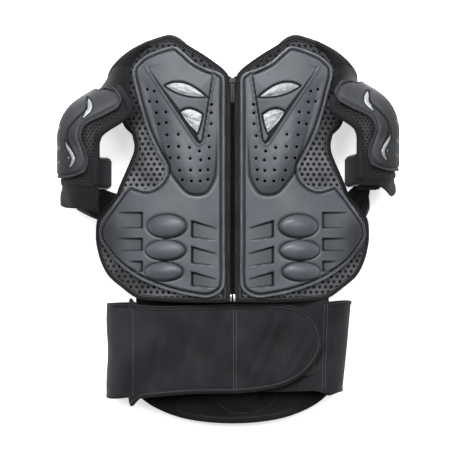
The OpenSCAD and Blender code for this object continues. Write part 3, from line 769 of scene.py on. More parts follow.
class Finishes:
    """All finishes of the vest, each made once."""

    SHELL = Finish(
        "satin shell", (0.044, 0.048, 0.055), (0.068, 0.073, 0.084), (0.30, 0.44), Effect.GRAIN, (1300.0, 16.0), 0.05,
        wear=0.5, dust=0.02, specular=0.28
    )
    CAP = Finish(
        "arm shell", (0.018, 0.019, 0.0215), (0.028, 0.0295, 0.0335), (0.40, 0.52), Effect.GRAIN, (1300.0, 22.0),
        0.04, wear=0.5, dust=0.02, specular=0.22
    )
    SILVER = Finish(
        "silver film", (0.10, 0.104, 0.11), (0.34, 0.35, 0.365), (0.38, 0.55), Effect.GRAIN, (420.0, 330.0), 0.6,
        metallic=0.35, coat=0.1
    )
    MESH = Finish(
        "spacer mesh", (0.026, 0.0265, 0.029), (0.17, 0.173, 0.185), (0.5, 0.8), Effect.HONEYCOMB, (0.0074, 0.21),
        1.5, sheen=0.08, dust=0.02, specular=0.2, gaps=0.04
    )
    LINING = Finish(
        "lining knit", (0.0075, 0.0075, 0.0088), (0.014, 0.014, 0.0158), (0.7, 0.85), Effect.WEAVE, (620.0, 0.2),
        0.35, sheen=0.06, dust=0.03, specular=0.15
    )
    BINDING = Finish(
        "binding tape", (0.0042, 0.0042, 0.005), (0.008, 0.008, 0.0092), (0.65, 0.85), Effect.RIBS, (700.0, 900.0),
        0.2, follows=Coordinates.SURFACE, sheen=0.05, dust=0.02, specular=0.15
    )
    BELT = Finish(
        "brushed belt fabric", (0.0040, 0.0040, 0.0054), (0.0150, 0.0153, 0.0186), (0.8, 0.95), Effect.FUZZ,
        (1300.0, 34.0), 0.6, sheen=0.08, dust=0.04, specular=0.15
    )
    ELASTIC = Finish(
        "ribbed elastic", (0.009, 0.009, 0.0105), (0.016, 0.016, 0.0185), (0.55, 0.8), Effect.RIBS, (420.0, 1300.0),
        0.5, follows=Coordinates.SURFACE, sheen=0.06, dust=0.02, specular=0.25, gaps=0.2
    )
    STRETCH = Finish(
        "stretch fabric", (0.0035, 0.0035, 0.0042), (0.0075, 0.0075, 0.0088), (0.55, 0.75), Effect.WEAVE,
        (1500.0, 0.12), 0.1, sheen=0.03, dust=0.01, specular=0.12
    )
    SLEEVE = Finish(
        "sleeve knit", (0.004, 0.004, 0.005), (0.009, 0.009, 0.010), (0.62, 0.85), Effect.WEAVE, (800.0, 0.3), 0.3,
        sheen=0.05, dust=0.02, specular=0.12
    )
    FOAM = Finish(
        "closed foam", (0.008, 0.008, 0.009), (0.014, 0.014, 0.016), (0.7, 0.9), Effect.FUZZ, (900.0, 30.0), 0.3,
        sheen=0.05, specular=0.2
    )
    HOOK = Finish(
        "hook tape", (0.006, 0.006, 0.007), (0.012, 0.012, 0.014), (0.45, 0.8), Effect.FUZZ, (700.0, 40.0), 0.7,
        sheen=0.05, specular=0.3
    )
    COIL = Finish(
        "nylon coil", (0.005, 0.005, 0.0056), (0.009, 0.009, 0.010), (0.4, 0.5), Effect.GRAIN, (2200.0, 90.0), 0.01,
        specular=0.3
    )
    THREAD = Finish(
        "sewing thread", (0.05, 0.05, 0.055), (0.09, 0.09, 0.098), (0.5, 0.7), Effect.GRAIN, (2600.0, 200.0), 0.03,
        sheen=0.3
    )
    LACQUER = Finish(
        "black lacquered metal", (0.004, 0.004, 0.005), (0.008, 0.008, 0.009), (0.3, 0.45), Effect.GRAIN,
        (1800.0, 70.0), 0.01, coat=0.1, wear=0.4, specular=0.25
    )
    BRIGHT = Finish(
        "bright zip metal", (0.66, 0.67, 0.69), (0.8, 0.81, 0.83), (0.2, 0.34), Effect.GRAIN, (1500.0, 90.0), 0.01,
        metallic=1.0
    )
    PERFORATED = Finish(
        "perforated knit", (0.014, 0.0142, 0.0155), (0.03, 0.0305, 0.033), (0.6, 0.85), Effect.HONEYCOMB,
        (0.0046, 0.22), 0.8, sheen=0.06, dust=0.02, specular=0.25, gaps=0.08
    )
    PALE = Finish(
        "pale strap lining", (0.28, 0.285, 0.29), (0.36, 0.365, 0.37), (0.6, 0.8), Effect.RIBS, (420.0, 1300.0), 0.3,
        follows=Coordinates.SURFACE, sheen=0.2
    )
    RIVET = Finish(
        "gunmetal rivet", (0.12, 0.12, 0.13), (0.2, 0.2, 0.21), (0.3, 0.45), Effect.GRAIN, (1500.0, 90.0), 0.01,
        metallic=0.9, wear=0.5
    )
    FLOOR = Finish(
        "pale floor", (0.9, 0.9, 0.9), (0.92, 0.92, 0.92), (0.8, 0.9), Effect.GRAIN, (300.0, 6.0), 0.02, specular=0.1,
        glow=0.6
    )

    def __init__(self) -> None:
        """Start with nothing mixed."""
        self.effects = Effects()
        self.made: dict[str, Material] = {}

    def dress(self, obj: Object, finish: Finish, slot: str | None = None) -> Object:
        """Put a finish on a piece.

        Args:
            obj: The piece, a new one or a CAD node.
            finish: The finish that it gets all over.
            slot: The record's material slot, for a new piece; it is not used.

        Returns:
            The same piece.
        """
        if finish.name not in self.made:
            self.made[finish.name] = finish.build(self.effects)
        if obj.data.materials:
            for index in range(len(obj.data.materials)):
                obj.data.materials[index] = self.made[finish.name]
        else:
            obj.data.materials.append(self.made[finish.name])
        return obj


# ---------------------------------------------------------------- the vest's frame


@dataclass(frozen=True)
class Frame:
    """Where the vest lies, in millimetres."""

    centre: tuple[float, float]
    barrel_r: float = 325.042
    barrel_z: float = -253.042
    back_z: float = 14.0
    fold_top: tuple[float, float, float] = (86.96, 240.88, 55.0)
    fold_low: tuple[float, float, float] = (181.52, -80.4, 22.0)

    @classmethod
    def from_model(cls) -> Frame:
        """Read the zip's line and the hem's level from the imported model."""
        low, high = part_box("zip_slider")
        tape_low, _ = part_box("zip_tape_l")
        return cls(centre=((low.x + high.x) / 2 / MM, tape_low.y / MM + 90.0))

    def lift(self, x: np.ndarray, above: float | np.ndarray) -> np.ndarray:
        """Return z on the vest's front, the given distance above its fabric."""
        return self.barrel_z + np.sqrt(np.maximum((self.barrel_r + above) ** 2 - x**2, 1.0))

    def up(self, x: np.ndarray, side: int = 1) -> np.ndarray:
        """Return the direction out of the front at each x."""
        slope = np.clip(x / self.barrel_r, -1, 1)
        return np.column_stack([side * slope, np.zeros(len(x)), np.sqrt(1 - slope**2)])

    def settle(self, obj: Object, side: int = 1, turn: bool = True) -> Object:
        """Move a piece drawn about the zip's line to its side of the vest."""
        points = Bench.points(obj)
        points[:, 0] = points[:, 0] * side + self.centre[0]
        points[:, 1] += self.centre[1]
        Bench.place(obj, points)
        if side < 0 and turn:
            Bench.edit(obj, lambda: bpy.ops.mesh.flip_normals())
        return obj

    def spot(self, x: float, y: float, z: float) -> tuple[float, float, float]:
        """Return a place in metres."""
        return ((x + self.centre[0]) * MM, (y + self.centre[1]) * MM, z * MM)


def ellipse(width: float, height: float, count: int = 12, power: float = 0.7) -> np.ndarray:
    """Return a rounded cross-section; a smaller power makes it squarer."""
    turn = np.linspace(0, 2 * math.pi, count, endpoint=False)
    c, s = np.cos(turn), np.sin(turn)
    return np.column_stack([width / 2 * np.sign(c) * np.abs(c) ** power, height / 2 * np.sign(s) * np.abs(s) ** power])


def upright(count: int) -> np.ndarray:
    """Return the upward direction, once for each point of a path."""
    return np.tile([0, 0, 1.0], (count, 1))


def inwards(outline: np.ndarray, distance: float) -> np.ndarray:
    """Move a closed counter-clockwise outline inwards."""
    ahead = np.roll(outline, -1, 0) - np.roll(outline, 1, 0)
    ahead /= np.linalg.norm(ahead, axis=1)[:, None]
    return outline + np.column_stack([-ahead[:, 1], ahead[:, 0]]) * distance


def cloth(obj: Object, held: str) -> None:
    """Work out the width and length of a thin closed piece's cut; the result is not kept."""
    mesh = bmesh.new()
    mesh.from_mesh(obj.data)
    area = sum(face.calc_area() for face in mesh.faces) / 2
    mesh.free()
    span = sorted(np.ptp(Bench.points(obj), axis=0) * MM)
    width, length = span[1], span[2]
    if area > width * length:
        width = area / length
    if area < 0.3 * width * length:
        width = area / 0.9 / length


# ---------------------------------------------------------------- surroundings


@dataclass
class Studio:
    """Pale floor, soft lights and the camera straight above."""

    frame: Frame
    finishes: Finishes
    camera_height: float = 2.398
    aim: tuple[float, float] = (-4.4, 0.6)
    lens: float = 147.0

    def build(self) -> None:
        """Set up the floor, the lights, the world and the camera."""
        scene = bpy.context.scene
        bpy.ops.object.select_all(action="DESELECT")
        bpy.ops.mesh.primitive_plane_add(size=14, location=(0, 0, -0.0005))
        floor = Bench.named("floor")
        self.finishes.dress(floor, Finishes.FLOOR)
        bpy.ops.object.camera_add(location=self.frame.spot(*self.aim, self.camera_height / MM), rotation=(0, 0, 0))
        camera = bpy.context.active_object
        camera.name = "camera"
        camera.data.lens = self.lens
        camera.data.sensor_width = 36
        camera.data.clip_end = 30
        scene.camera = camera
        scene.view_settings.view_transform = "Standard"
        scene.view_settings.look = "None"
        scene.view_settings.exposure = 0.0
        world = bpy.data.worlds.new("studio")
        world.use_nodes = True
        s = Shading(world.node_tree)
        towards = s.node("ShaderNodeSeparateXYZ", {0: s.node("ShaderNodeTexCoord").outputs["Generated"]}).outputs[1]
        glow = s.node("ShaderNodeBackground", {0: (0.96, 0.98, 1.0, 1), 1: s.span(towards, -0.28, 0.65, 0.08, 0.95)})
        s.node("ShaderNodeOutputWorld", {0: glow.outputs[0]})
        scene.world = world
        self.lamp("key", (-0.1, 1.25, 1.75), (1.3, 0.6), 52)
        self.lamp("left soft box", (0.95, 0.45, 1.95), (0.6, 1.0), 17)
        self.lamp("right soft box", (-0.95, 0.45, 1.95), (0.6, 1.0), 19)

    def lamp(self, name: str, place: Point, size: Point, power: float) -> None:
        """Add one soft box that faces the vest."""
        bpy.ops.object.light_add(type="AREA", location=place)
        lamp = bpy.context.active_object
        lamp.name = name
        lamp.data.shape = "RECTANGLE"
        lamp.data.size, lamp.data.size_y = size
        lamp.data.energy = power
        lamp.rotation_euler = (-Vector(place)).to_track_quat("-Z", "Y").to_euler()


# ---------------------------------------------------------------- front


@dataclass
class Front:
    """The two halves of the front: fabric, foam, moulded plates and silver inserts."""

    frame: Frame
    finishes: Finishes
    plate_edge: Sequence[Point] = (
        (10, 184), (10, 160), (10, 100), (10, 40), (10, -20), (10, -62), (14, -76), (28, -84), (45, -83.5),
        (80, -76), (115, -62.5), (143, -44), (158.5, -27), (167, -14), (169, -5), (166, 8), (150, 31),
        (135, 50.5), (127, 55), (117, 52), (108, 50), (98.5, 52.5), (89, 60), (83.5, 70), (84, 80), (93, 96),
        (105, 121), (114, 148), (121, 175), (125, 192), (124, 203), (118, 210), (109, 217), (92, 224),
        (73, 228), (62, 221), (48, 208.5), (32, 200), (20, 196.5), (12, 191),
    )
    fabric_edge: Sequence[Point] = (
        (5.5, 188), (5.5, 150), (5.5, 80), (5.5, 0), (5.5, -60), (6, -87), (20, -90.5), (60, -90.5), (95, -89),
        (119, -86), (140, -72), (156.5, -58), (166.4, -40), (171.5, -21), (172.8, -7), (171, 12), (161, 27),
        (147.5, 41.5), (142, 54.5), (135, 70), (127, 88), (123, 100), (124, 117), (136, 131), (146, 158),
        (156, 192), (153, 202), (144, 212), (131, 222), (115, 231), (93, 238), (78, 241), (66, 236),
        (50, 226), (37, 218), (16, 203), (8, 195),
    )
    vee: Sequence[Point] = ((108, 203), (46, 109), (41, 104.5), (36, 109), (23, 192), (62, 214))
    tongue: Sequence[Point] = (
        (110, 196), (105, 172), (97, 136), (88, 106), (80, 82), (77, 72), (69, 60.6), (57, 47), (45, 43.2),
        (32.5, 46.5),
        (23.5, 61), (20.5, 76), (18.5, 120), (18.5, 180), (24, 196),
    )
    lens: Sequence[Point] = ((31.5, 164), (85, 179), (60, 182.5), (61, 166.5))
    wedge: Sequence[Point] = ((36.7, 143), (65.5, 146), (53, 150.5), (43.4, 118.7))
    bumps: Sequence[Point] = ((82, 4, 48, 28.5), (83.5, -26, 49, 25), (85.5, -52.5, 47, 23))
    outer_gills: Sequence[Point] = ((21.5, 1.5, 146), (-11, -26.5, 146), (-39.7, -52.5, 131))
    inner_gills: Sequence[Point] = ((11, 1.6, -9.8, -13.6), (-21, -30, -42, -45.5), (-52.5, -61.5, -70, -73))
    vents: Sequence[Point] = (
        (106.6, 175), (97.6, 172.4), (103.8, 160), (94.4, 159), (94.9, 145.6), (83, 146), (92, 131.6),
        (82.6, 133), (81.5, 117.6), (67.5, 118), (79.8, 103), (67, 103), (53.4, 101.5), (41, 97), (28.8, 102),
        (77.6, 89), (67, 89), (52.5, 88), (39.4, 86), (29, 88), (65.6, 73.5), (52, 73.5), (40, 73), (30.6, 74),
        (62.4, 61.5), (51, 60), (40, 60), (30.6, 62), (25.9, 155), (26.3, 144.4), (26.5, 131), (29.4, 116),
    )
    vent_r: float = 1.95
    fold_out: float = 50.0
    fold_in: float = 28.0

    @staticmethod
    def arc(start: Point, end: Point, peak: Point, count: int = 14) -> np.ndarray:
        """Return points on the curve from start to end through peak, without its end."""
        a, b, m = (np.array(p, float) for p in (start, end, peak))
        t = np.linspace(0, 1, count, endpoint=False)[:, None]
        return (1 - t) ** 2 * a + 2 * t * (1 - t) * (2 * m - (a + b) / 2) + t**2 * b

    def lens_outline(self) -> np.ndarray:
        """Return the eye-shaped opening."""
        left, right, top, low = self.lens
        return np.vstack([self.arc(left, right, low), self.arc(right, left, top)])

    def wedge_outline(self) -> np.ndarray:
        """Return the pointed opening under the eye."""
        left, right, top, tip = self.wedge
        return np.vstack([
            self.arc(tip, right, (np.array(tip) + right) / 2 + (1.6, -0.8), 10), self.arc(right, left, top),
            self.arc(left, tip, (np.array(left) + tip) / 2 + (-0.8, 0), 10),
        ])

    @staticmethod
    def wall(x: np.ndarray, y: np.ndarray) -> np.ndarray:
        """Return how wide the slope inside the pointed hollow is."""
        return 2.2 + 4.6 * ease(196, 124, y) * ease(38, 47, x)

    def plate_recess(self, x: np.ndarray, y: np.ndarray) -> np.ndarray:
        """Return the painted shade on the plate, from 0 to 1: in its hollows, grooves and gill slots, round the
        inserts, on each bump's shaded side and over the outer lower corner.
        """
        place = np.stack([x, y], axis=1)
        e = nearest(place, spline(self.plate_edge, 2.2, True))[0]
        vee = depth_in(x, y, self.vee)
        tongue = depth_in(x, y, spline(self.tongue, 3, True))
        wall = self.wall(x, y)
        dark = 0.95 * ease(0.1, 0.9, vee) * ease(wall + 0.9, wall - 0.3, vee) * ease(208, 186, y)
        dark = np.maximum(dark, 0.95 * hump(3.9, 0.95, e))
        for cut in (self.lens_outline(), self.wedge_outline()):
            dark = np.maximum(dark, 0.95 * ease(-2.3, -1.2, nearest(place, cut)[0]))
        low = ease(150, 75, y)
        dark = np.maximum(dark, 0.85 * ease(4.5, 0.4, tongue) * ease(-1.3, 0.2, tongue) * low)
        dark = np.maximum(dark, 0.40 * ease(0, 3, tongue) * low * ease(22, 8, tongue))
        # Painted shade: the outer lower corner of the plate is darker, as if turned away from the light.
        dark = np.maximum(dark, 0.7 * ease(118, 158, x) * ease(30, 0, y))
        for cx, cy, w, t in self.bumps:
            q = ((x - cx) / (w / 2)) ** 2 + ((y - cy) / (t / 2)) ** 2
            # Painted shade: each bump is darker on its lower side and on the side towards the zip, as if lit from
            # above.
            side = ease(-0.2, 0.8, (cx - x) / w * 1.1 + (cy - y) / t * 0.9)
            dark = np.maximum(dark, 0.8 * hump(1.04, 0.10, q) * (0.25 + 0.75 * side))
            dark = np.maximum(dark, 0.45 * side * ease(0.3, 0.95, q) * ease(1.1, 1.0, q))
        for top, bottom, end in self.outer_gills:
            run = np.clip((x - 112.5) / (end - 112.5), 0, 1)
            line = np.maximum(hump(top - 0.7, 1.1 - 0.5 * run, y), 0.85 * hump(bottom + 0.3, 0.75, y))
            inside = ease(bottom - 0.8, bottom, y) * ease(top + 0.8, top, y)
            dark = np.maximum(dark, line * ease(111.4, 112.4, x) * ease(1, 0.8, run))
            dark = np.maximum(
                dark, inside * np.maximum(0.95 * hump(113.3, 1.8, x), 0.4 * (1 - run) * ease(112, 113, x))
            )
        for high_in, high_out, low_in, low_out in self.inner_gills:
            run = np.clip((x - 19) / 31.8, 0, 1)
            top = high_out + (high_in - high_out) * run
            bottom = low_out + (low_in - low_out) * run
            line = np.maximum(hump(top - 0.7, 0.6 + 0.8 * run, y), 0.85 * hump(bottom + 0.3, 0.75, y))
            inside = ease(bottom - 0.8, bottom, y) * ease(top + 0.8, top, y)
            dark = np.maximum(dark, line * ease(51.6, 50.8, x) * ease(18.4, 22, x))
            dark = np.maximum(dark, inside * np.maximum(0.95 * hump(50.0, 1.8, x), 0.35 * run * ease(51.5, 50.5, x)))
        return dark

    def fabric_recess(self, x: np.ndarray, y: np.ndarray) -> np.ndarray:
        """Return how shaded the spacer mesh is: pale by the armhole's foot, dark towards the shoulder."""
        edge = nearest(np.stack([x, y], axis=1), spline(self.fabric_edge, 3, True))[0]
        # Painted shade: darker towards the shoulder and towards the hem, and along the bound edge higher up.
        dark = 0.06 + 0.7 * ease(95, 150, y) + 0.25 * ease(40, 10, y) * ease(-20, 20, y) + 0.4 * ease(30, 0, y)
        return np.maximum(dark, 0.9 * ease(9.5, 5.0, edge) * ease(60, 75, y))

    def plate_height(self, x: np.ndarray, y: np.ndarray, e: np.ndarray) -> np.ndarray:
        """Return how far the plate's skin stands above the fabric."""
        h = 5.0 + 1.2 * hump(1.4, 1.1, e) - 0.9 * hump(3.9, 0.9, e) + 3.2 * ease(5.0, 7.2, e) + 1.0 * ease(8, 42, e)
        vee = depth_in(x, y, self.vee)
        deep = ease(212, 112, y)
        tongue = depth_in(x, y, spline(self.tongue, 3, True))
        raised = ease(-1.1, 1.1, tongue) * ease(128, 84, y)
        dome = 1 - (1 - np.clip(tongue / 25, 0, 1)) ** 2
        h += 1.4 * raised - 0.9 * hump(-2.0, 1.5, tongue) * ease(112, 74, y) + 4.4 * dome * ease(222, 150, y)
        h -= 6.2 * ease(0, 1.0, vee / self.wall(x, y)) * deep
        h += 1.5 * hump(-0.6, 0.95, vee) * ease(212, 196, y)
        for cut in (self.lens_outline(), self.wedge_outline()):
            h -= 0.8 * ease(-2.2, -0.4, nearest(np.stack([x, y], axis=1), cut)[0])
        for cx, cy, w, t in self.bumps:
            q = ((x - cx) / (w / 2)) ** 2 + ((y - cy) / (t / 2)) ** 2
            h += 7.0 * np.maximum(0, 1 - q) ** 0.6 - 1.0 * hump(1.12, 0.16, q)
        for top, low, end in self.outer_gills:
            run = np.clip((x - 112.5) / (end - 112.5), 0, 1)
            h -= 4.5 * (1 - run) ** 0.8 * ease(112, 113.4, x) * ease(
                low - 0.6, low + 0.6, y
            ) * ease(top + 0.6, top - 0.6, y)
        for high_in, high_out, low_in, low_out in self.inner_gills:
            run = np.clip((x - 19) / 31.8, 0, 1)
            top = high_out + (high_in - high_out) * run
            low = low_out + (low_in - low_out) * run
            inside = ease(-0.6, 0.6, y - low) * ease(0.6, -0.6, y - top)
            h -= 4.3 * run**0.8 * ease(51.6, 50, x) * inside
        for vx, vy in self.vents:
            h -= 0.5 * np.exp(-(((x - vx) ** 2 + (y - vy) ** 2) / 9.0))
        return h

    def plate(self) -> tuple[Object, Object]:
        """Mould the left plate, cut it out, and mirror it for the right."""
        outline = spline(self.plate_edge, 2.2, True)
        obj = Bench.relief(
            "chest_shell_left", outline, 1.25, lambda x, y, e: self.frame.lift(x, self.plate_height(x, y, e))
        )
        Bench.thicken(obj, 2.3)
        cutters = [Bench.prism("cut", self.lens_outline(), 20, 110), Bench.prism("cut", self.wedge_outline(), 20, 110)]
        for x, y in self.vents:
            bpy.ops.mesh.primitive_cylinder_add(
                vertices=14, radius=self.vent_r * MM, depth=0.09, location=(x * MM, y * MM, 0.065)
            )
            bpy.ops.object.transform_apply(location=True, rotation=True, scale=True)
            cutters.append(bpy.context.active_object)
        Bench.cut(obj, Bench.join("vents", cutters))
        Bench.smooth(obj, 38)
        Bench.shade(obj, self.plate_recess)
        self.frame.settle(obj)
        return obj, Bench.mirrored(obj, "chest_shell_right", self.frame.centre[0])

    def insert(self, name: str, outline: np.ndarray, seed: float) -> Object:
        """Model one crinkled silver insert that fills its opening."""
        grown = inwards(spline(outline, 1.6, True), 1.3)

        def height(x: np.ndarray, y: np.ndarray, e: np.ndarray) -> np.ndarray:
            """Lie just under the plate's skin, with creases pressed in."""
            crease = 0.35 * ripple(x, y, 9, seed) + 0.22 * np.abs(ripple(x * 1.7 + y, y, 6, seed + 2))
            return self.frame.lift(
                x, self.plate_height(x, y, np.full(len(x), 60.0)) - 1.9 + 1.0 * ease(0, 4.5, e) + crease
            )

        obj = Bench.relief(name, grown, 0.8, height)
        Bench.thicken(obj, 0.7)
        return Bench.smooth(obj, 50)

    def fabric(self, side: int) -> None:
        """Lay one half's spacer mesh, bind its edge and sew it."""
        f, word = self.frame, "left" if side > 0 else "right"
        outline = spline(self.fabric_edge, 3.0, True)
        obj = Bench.relief(
            f"front_mesh_sheet_{word}", outline, 2.2,
            lambda x, y, e: f.lift(
                x, 0.9 * ease(2, 9, e) * ease(60, 90, y) + 0.35 * ripple(x, y, 46, 1.0 + side) * ease(3, 12, e)
            ),
        )
        Bench.thicken(obj, 2.7)
        Bench.smooth(obj, 40)
        Bench.shade(obj, self.fabric_recess)
        path = inwards(outline, 2.7)
        tape = Bench.sweep(
            f"front_binding_tape_{word}", np.column_stack([path, f.lift(path[:, 0], -1.3)]), f.up(path[:, 0]),
            ellipse(6.8, 5.2, 12, 0.55), True,
        )
        Bench.smooth(tape, 60)
        seam = spline(inwards(outline, 4.6), 3.4, True)
        sewn = Bench.stitches(
            f"front_binding_stitches_{word}", np.column_stack([seam, f.lift(seam[:, 0], 1.15)]), f.up(seam[:, 0])
        )
        fold = np.array(f.fold_low[:2]) - np.array(f.fold_top[:2])
        away = np.array([-fold[1], fold[0]]) / np.linalg.norm(fold)
        for piece, finish, slot in (
            (obj, Finishes.MESH, "spacer_mesh"), (tape, Finishes.BINDING, "binding_tape"),
            (sewn, Finishes.THREAD, "binding_tape"),
        ):
            f.settle(piece, side)
            self.finishes.dress(piece, finish, slot)
            outer = np.array(f.fold_top[:2]) + away * self.fold_out
            inner = np.array(f.fold_top[:2]) + away * self.fold_in
            f.spot(side * outer[0], outer[1], 40)
            f.spot(side * inner[0], inner[1], 40)
            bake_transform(piece)
        key = "l" if side > 0 else "r"
        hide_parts(f"front_mesh_{key}", f"shoulder_panel_{key}")
        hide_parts(f"front_binding_{key}")
        cloth(obj, "laid")

    def foam(self, side: int) -> None:
        """Model the soft pad between a plate and its fabric."""
        word = "left" if side > 0 else "right"
        outline = inwards(spline(self.plate_edge, 4, True), 4.6)
        obj = Bench.relief(
            f"chest_pad_{word}", outline, 3.2,
            lambda x, y, e: self.frame.lift(x, 0.9 + 1.5 * ease(0, 6, e)),
        )
        Bench.thicken(obj, 1.2)
        Bench.smooth(obj, 50)
        self.frame.settle(obj, side)
        self.finishes.dress(obj, Finishes.FOAM, "foam")
        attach(obj, f"front_{word}")
        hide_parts(f"chest_foam_{'l' if side > 0 else 'r'}")

    def build(self) -> None:
        """Build both halves."""
        shells = self.plate()
        for side, word, key in ((1, "left", "l"), (-1, "right", "r")):
            shell = shells[0 if side > 0 else 1]
            self.finishes.dress(shell, Finishes.SHELL, "moulded_shell")
            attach(shell, f"front_{word}")
            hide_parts(f"chest_plate_{key}")
            seam = spline(inwards(spline(self.plate_edge, 2.2, True), 3.4), 3.2, True)
            sewn = Bench.stitches(
                f"shell_stitches_{word}", np.column_stack([seam, self.frame.lift(seam[:, 0], 4.75)]),
                self.frame.up(seam[:, 0]), 3.2, 0.34
            )
            self.frame.settle(sewn, side)
            self.finishes.dress(sewn, Finishes.THREAD, "binding_tape")
            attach(sewn, f"front_{word}")
            silver = Bench.join(f"silver_inserts_{word}", [
                self.insert("lens", self.lens_outline(), 0.4 * side),
                self.insert("wedge", self.wedge_outline(), 1.1 * side)])
            self.frame.settle(silver, side)
            self.finishes.dress(silver, Finishes.SILVER, "silver_insert")
            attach(silver, f"front_{word}")
            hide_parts(f"chest_inserts_{key}")
            self.foam(side)
            self.fabric(side)
            LOG.info("front half %s built", word)


# ---------------------------------------------------------------- zip


@dataclass
class Zip:
    """The open-ended zip: tapes, coils, end box, pin, stops, slider and pull tab."""

    frame: Frame
    finishes: Finishes
    tape_x: tuple[float, float] = (3.6, 13.0)
    run_y: tuple[float, float] = (-80.0, 175.9)
    top_y: float = 191.0
    hem_y: float = -90.0
    pitch: float = 1.62
    slider_y: float = 182.4
    slider_z: tuple[float, float] = (70.7, 75.4)
    pull_z: float = 78.4

    def tape(self, side: int, word: str) -> Object:
        """Weave one tape, with its edge turned under the plate."""
        low, high = self.tape_x
        span = self.top_y - self.hem_y

        def shape(u: np.ndarray, v: np.ndarray) -> np.ndarray:
            """Rise towards the coil and dip beside the plate."""
            x = low + (high - low) * u
            y = self.hem_y + span * v
            above = 1.25 + 0.5 * ease(6.0, 3.8, x) + 0.12 * np.sin(y / 9.0)
            return np.column_stack([x, y, self.frame.lift(x, above)])

        obj = Bench.surface(f"zip_tape_cloth_{word}", 10, 120, shape, (high - low, span))
        Bench.thicken(obj, 1.0)
        return Bench.smooth(obj, 40)

    def coil(self, side: int, word: str) -> Object:
        """Wind one side's coil as a row of bent loops."""
        bpy.ops.object.select_all(action="DESELECT")
        bpy.ops.mesh.primitive_torus_add(major_segments=14, minor_segments=6, major_radius=0.0010, minor_radius=0.00034)
        loop = Bench.named("loop")
        p = Bench.points(loop)
        p = np.column_stack([p[:, 0] * 1.75, p[:, 2] + 0.22 * p[:, 0], p[:, 1] * 1.18])
        Bench.place(loop, p)
        count = int((self.run_y[1] - self.run_y[0]) / self.pitch)
        y = self.run_y[0] + 0.7 + (np.arange(count) + (0.5 if side < 0 else 0.0)) * self.pitch
        places = np.column_stack([np.full(count, 1.75), y, np.full(count, 73.7)])
        turns = np.repeat(np.eye(3)[None], count, axis=0)
        loops = Bench.copies(f"zip_loops_{word}", loop, places, turns)
        path = np.column_stack([np.full(60, 3.1), np.linspace(self.run_y[0], self.run_y[1], 60), np.full(60, 73.6)])
        cord = Bench.sweep("cord", path, upright(60), ellipse(1.1, 2.2, 8), False)
        Bench.smooth(cord, 60)
        return Bench.join(f"zip_coil_loops_{word}", [loops, cord])

    def small_block(self, name: str, outline: Sequence[Point], low: float, high: float, round_by: float) -> Object:
        """Model a small metal block with eased edges."""
        obj = Bench.prism(name, np.array(outline, float), low, high)
        Bench.apply(obj, "BEVEL", width=round_by * MM, segments=3, limit_method="ANGLE")
        return Bench.smooth(obj, 40)

    def slider(self) -> Object:
        """Model the slider with its two wings, neck and bridge."""
        y, (low, top) = self.slider_y, self.slider_z
        wing = [
            (-2.6, y - 6), (2.6, y - 6), (3.4, y - 3.4), (4.1, y + 2.0), (3.9, y + 4.6), (2.6, y + 5.9),
            (-2.6, y + 5.9), (-3.9, y + 4.6), (-4.1, y + 2.0), (-3.4, y - 3.4)
        ]
        pieces = [
            self.small_block("wing", wing, low, low + 1.0, 0.35), self.small_block("wing", wing, top, top + 1.1, 0.4),
            self.small_block(
                "neck", [(-0.7, y + 2.6), (0.7, y + 2.6), (1.1, y + 5.6), (-1.1, y + 5.6)], low + 0.5, top + 0.5, 0.15
            ),
        ]
        for x in (-3.3, 3.3):
            pieces.append(self.small_block(
                "cheek", [(x - 0.45, y - 2.2), (x + 0.45, y - 2.2), (x + 0.45, y + 2.2), (x - 0.45, y + 2.2)],
                top + 0.9, self.pull_z + 1.7, 0.25
            ))
        path = np.column_stack([np.linspace(-3.4, 3.4, 8), np.full(8, y), np.full(8, self.pull_z)])
        pieces.append(Bench.smooth(Bench.sweep("pin", path, upright(8), ellipse(1.5, 1.5, 10, 1.0), False), 60))
        return Bench.join("slider_body", pieces)

    def pull(self) -> Object:
        """Model the pull tab: an eye round the pin, a stem and a moulded grip."""
        y, z = self.slider_y, self.pull_z
        edge = spline(
            [
                (-2.4, y - 1.6), (-2.1, y - 5), (-2.3, y - 9), (-2.5, y - 14), (-2.5, y - 20), (-2.3, y - 24.4),
                (0, y - 26), (2.3, y - 24.4), (2.5, y - 20), (2.5, y - 14), (2.3, y - 9), (2.1, y - 5),
                (2.4, y - 1.6), (0, y - 1.2)
            ],
            1.2, True
        )
        grip = Bench.prism("grip", edge, z - 0.75, z + 0.75)
        Bench.apply(grip, "BEVEL", width=0.35 * MM, segments=2, limit_method="ANGLE", angle_limit=math.radians(50))
        ribs = []
        for step in range(7):
            at = y - 11.5 - 1.9 * step
            path = np.column_stack([np.linspace(-1.7, 1.7, 6), np.full(6, at), np.full(6, z + 0.72)])
            ribs.append(Bench.sweep("rib", path, upright(6), ellipse(0.7, 0.5, 8), False))
        turn = np.linspace(0, 2 * math.pi, 20, endpoint=False)
        path = np.column_stack([np.zeros(20), y + 1.75 * np.cos(turn), z + 1.75 * np.sin(turn)])
        eye = Bench.sweep("eye", path, np.tile([1.0, 0, 0], (20, 1)), ellipse(1.1, 4.4, 10, 0.6), True)
        return Bench.smooth(Bench.join("pull_tab", [grip, eye, *ribs]), 45)

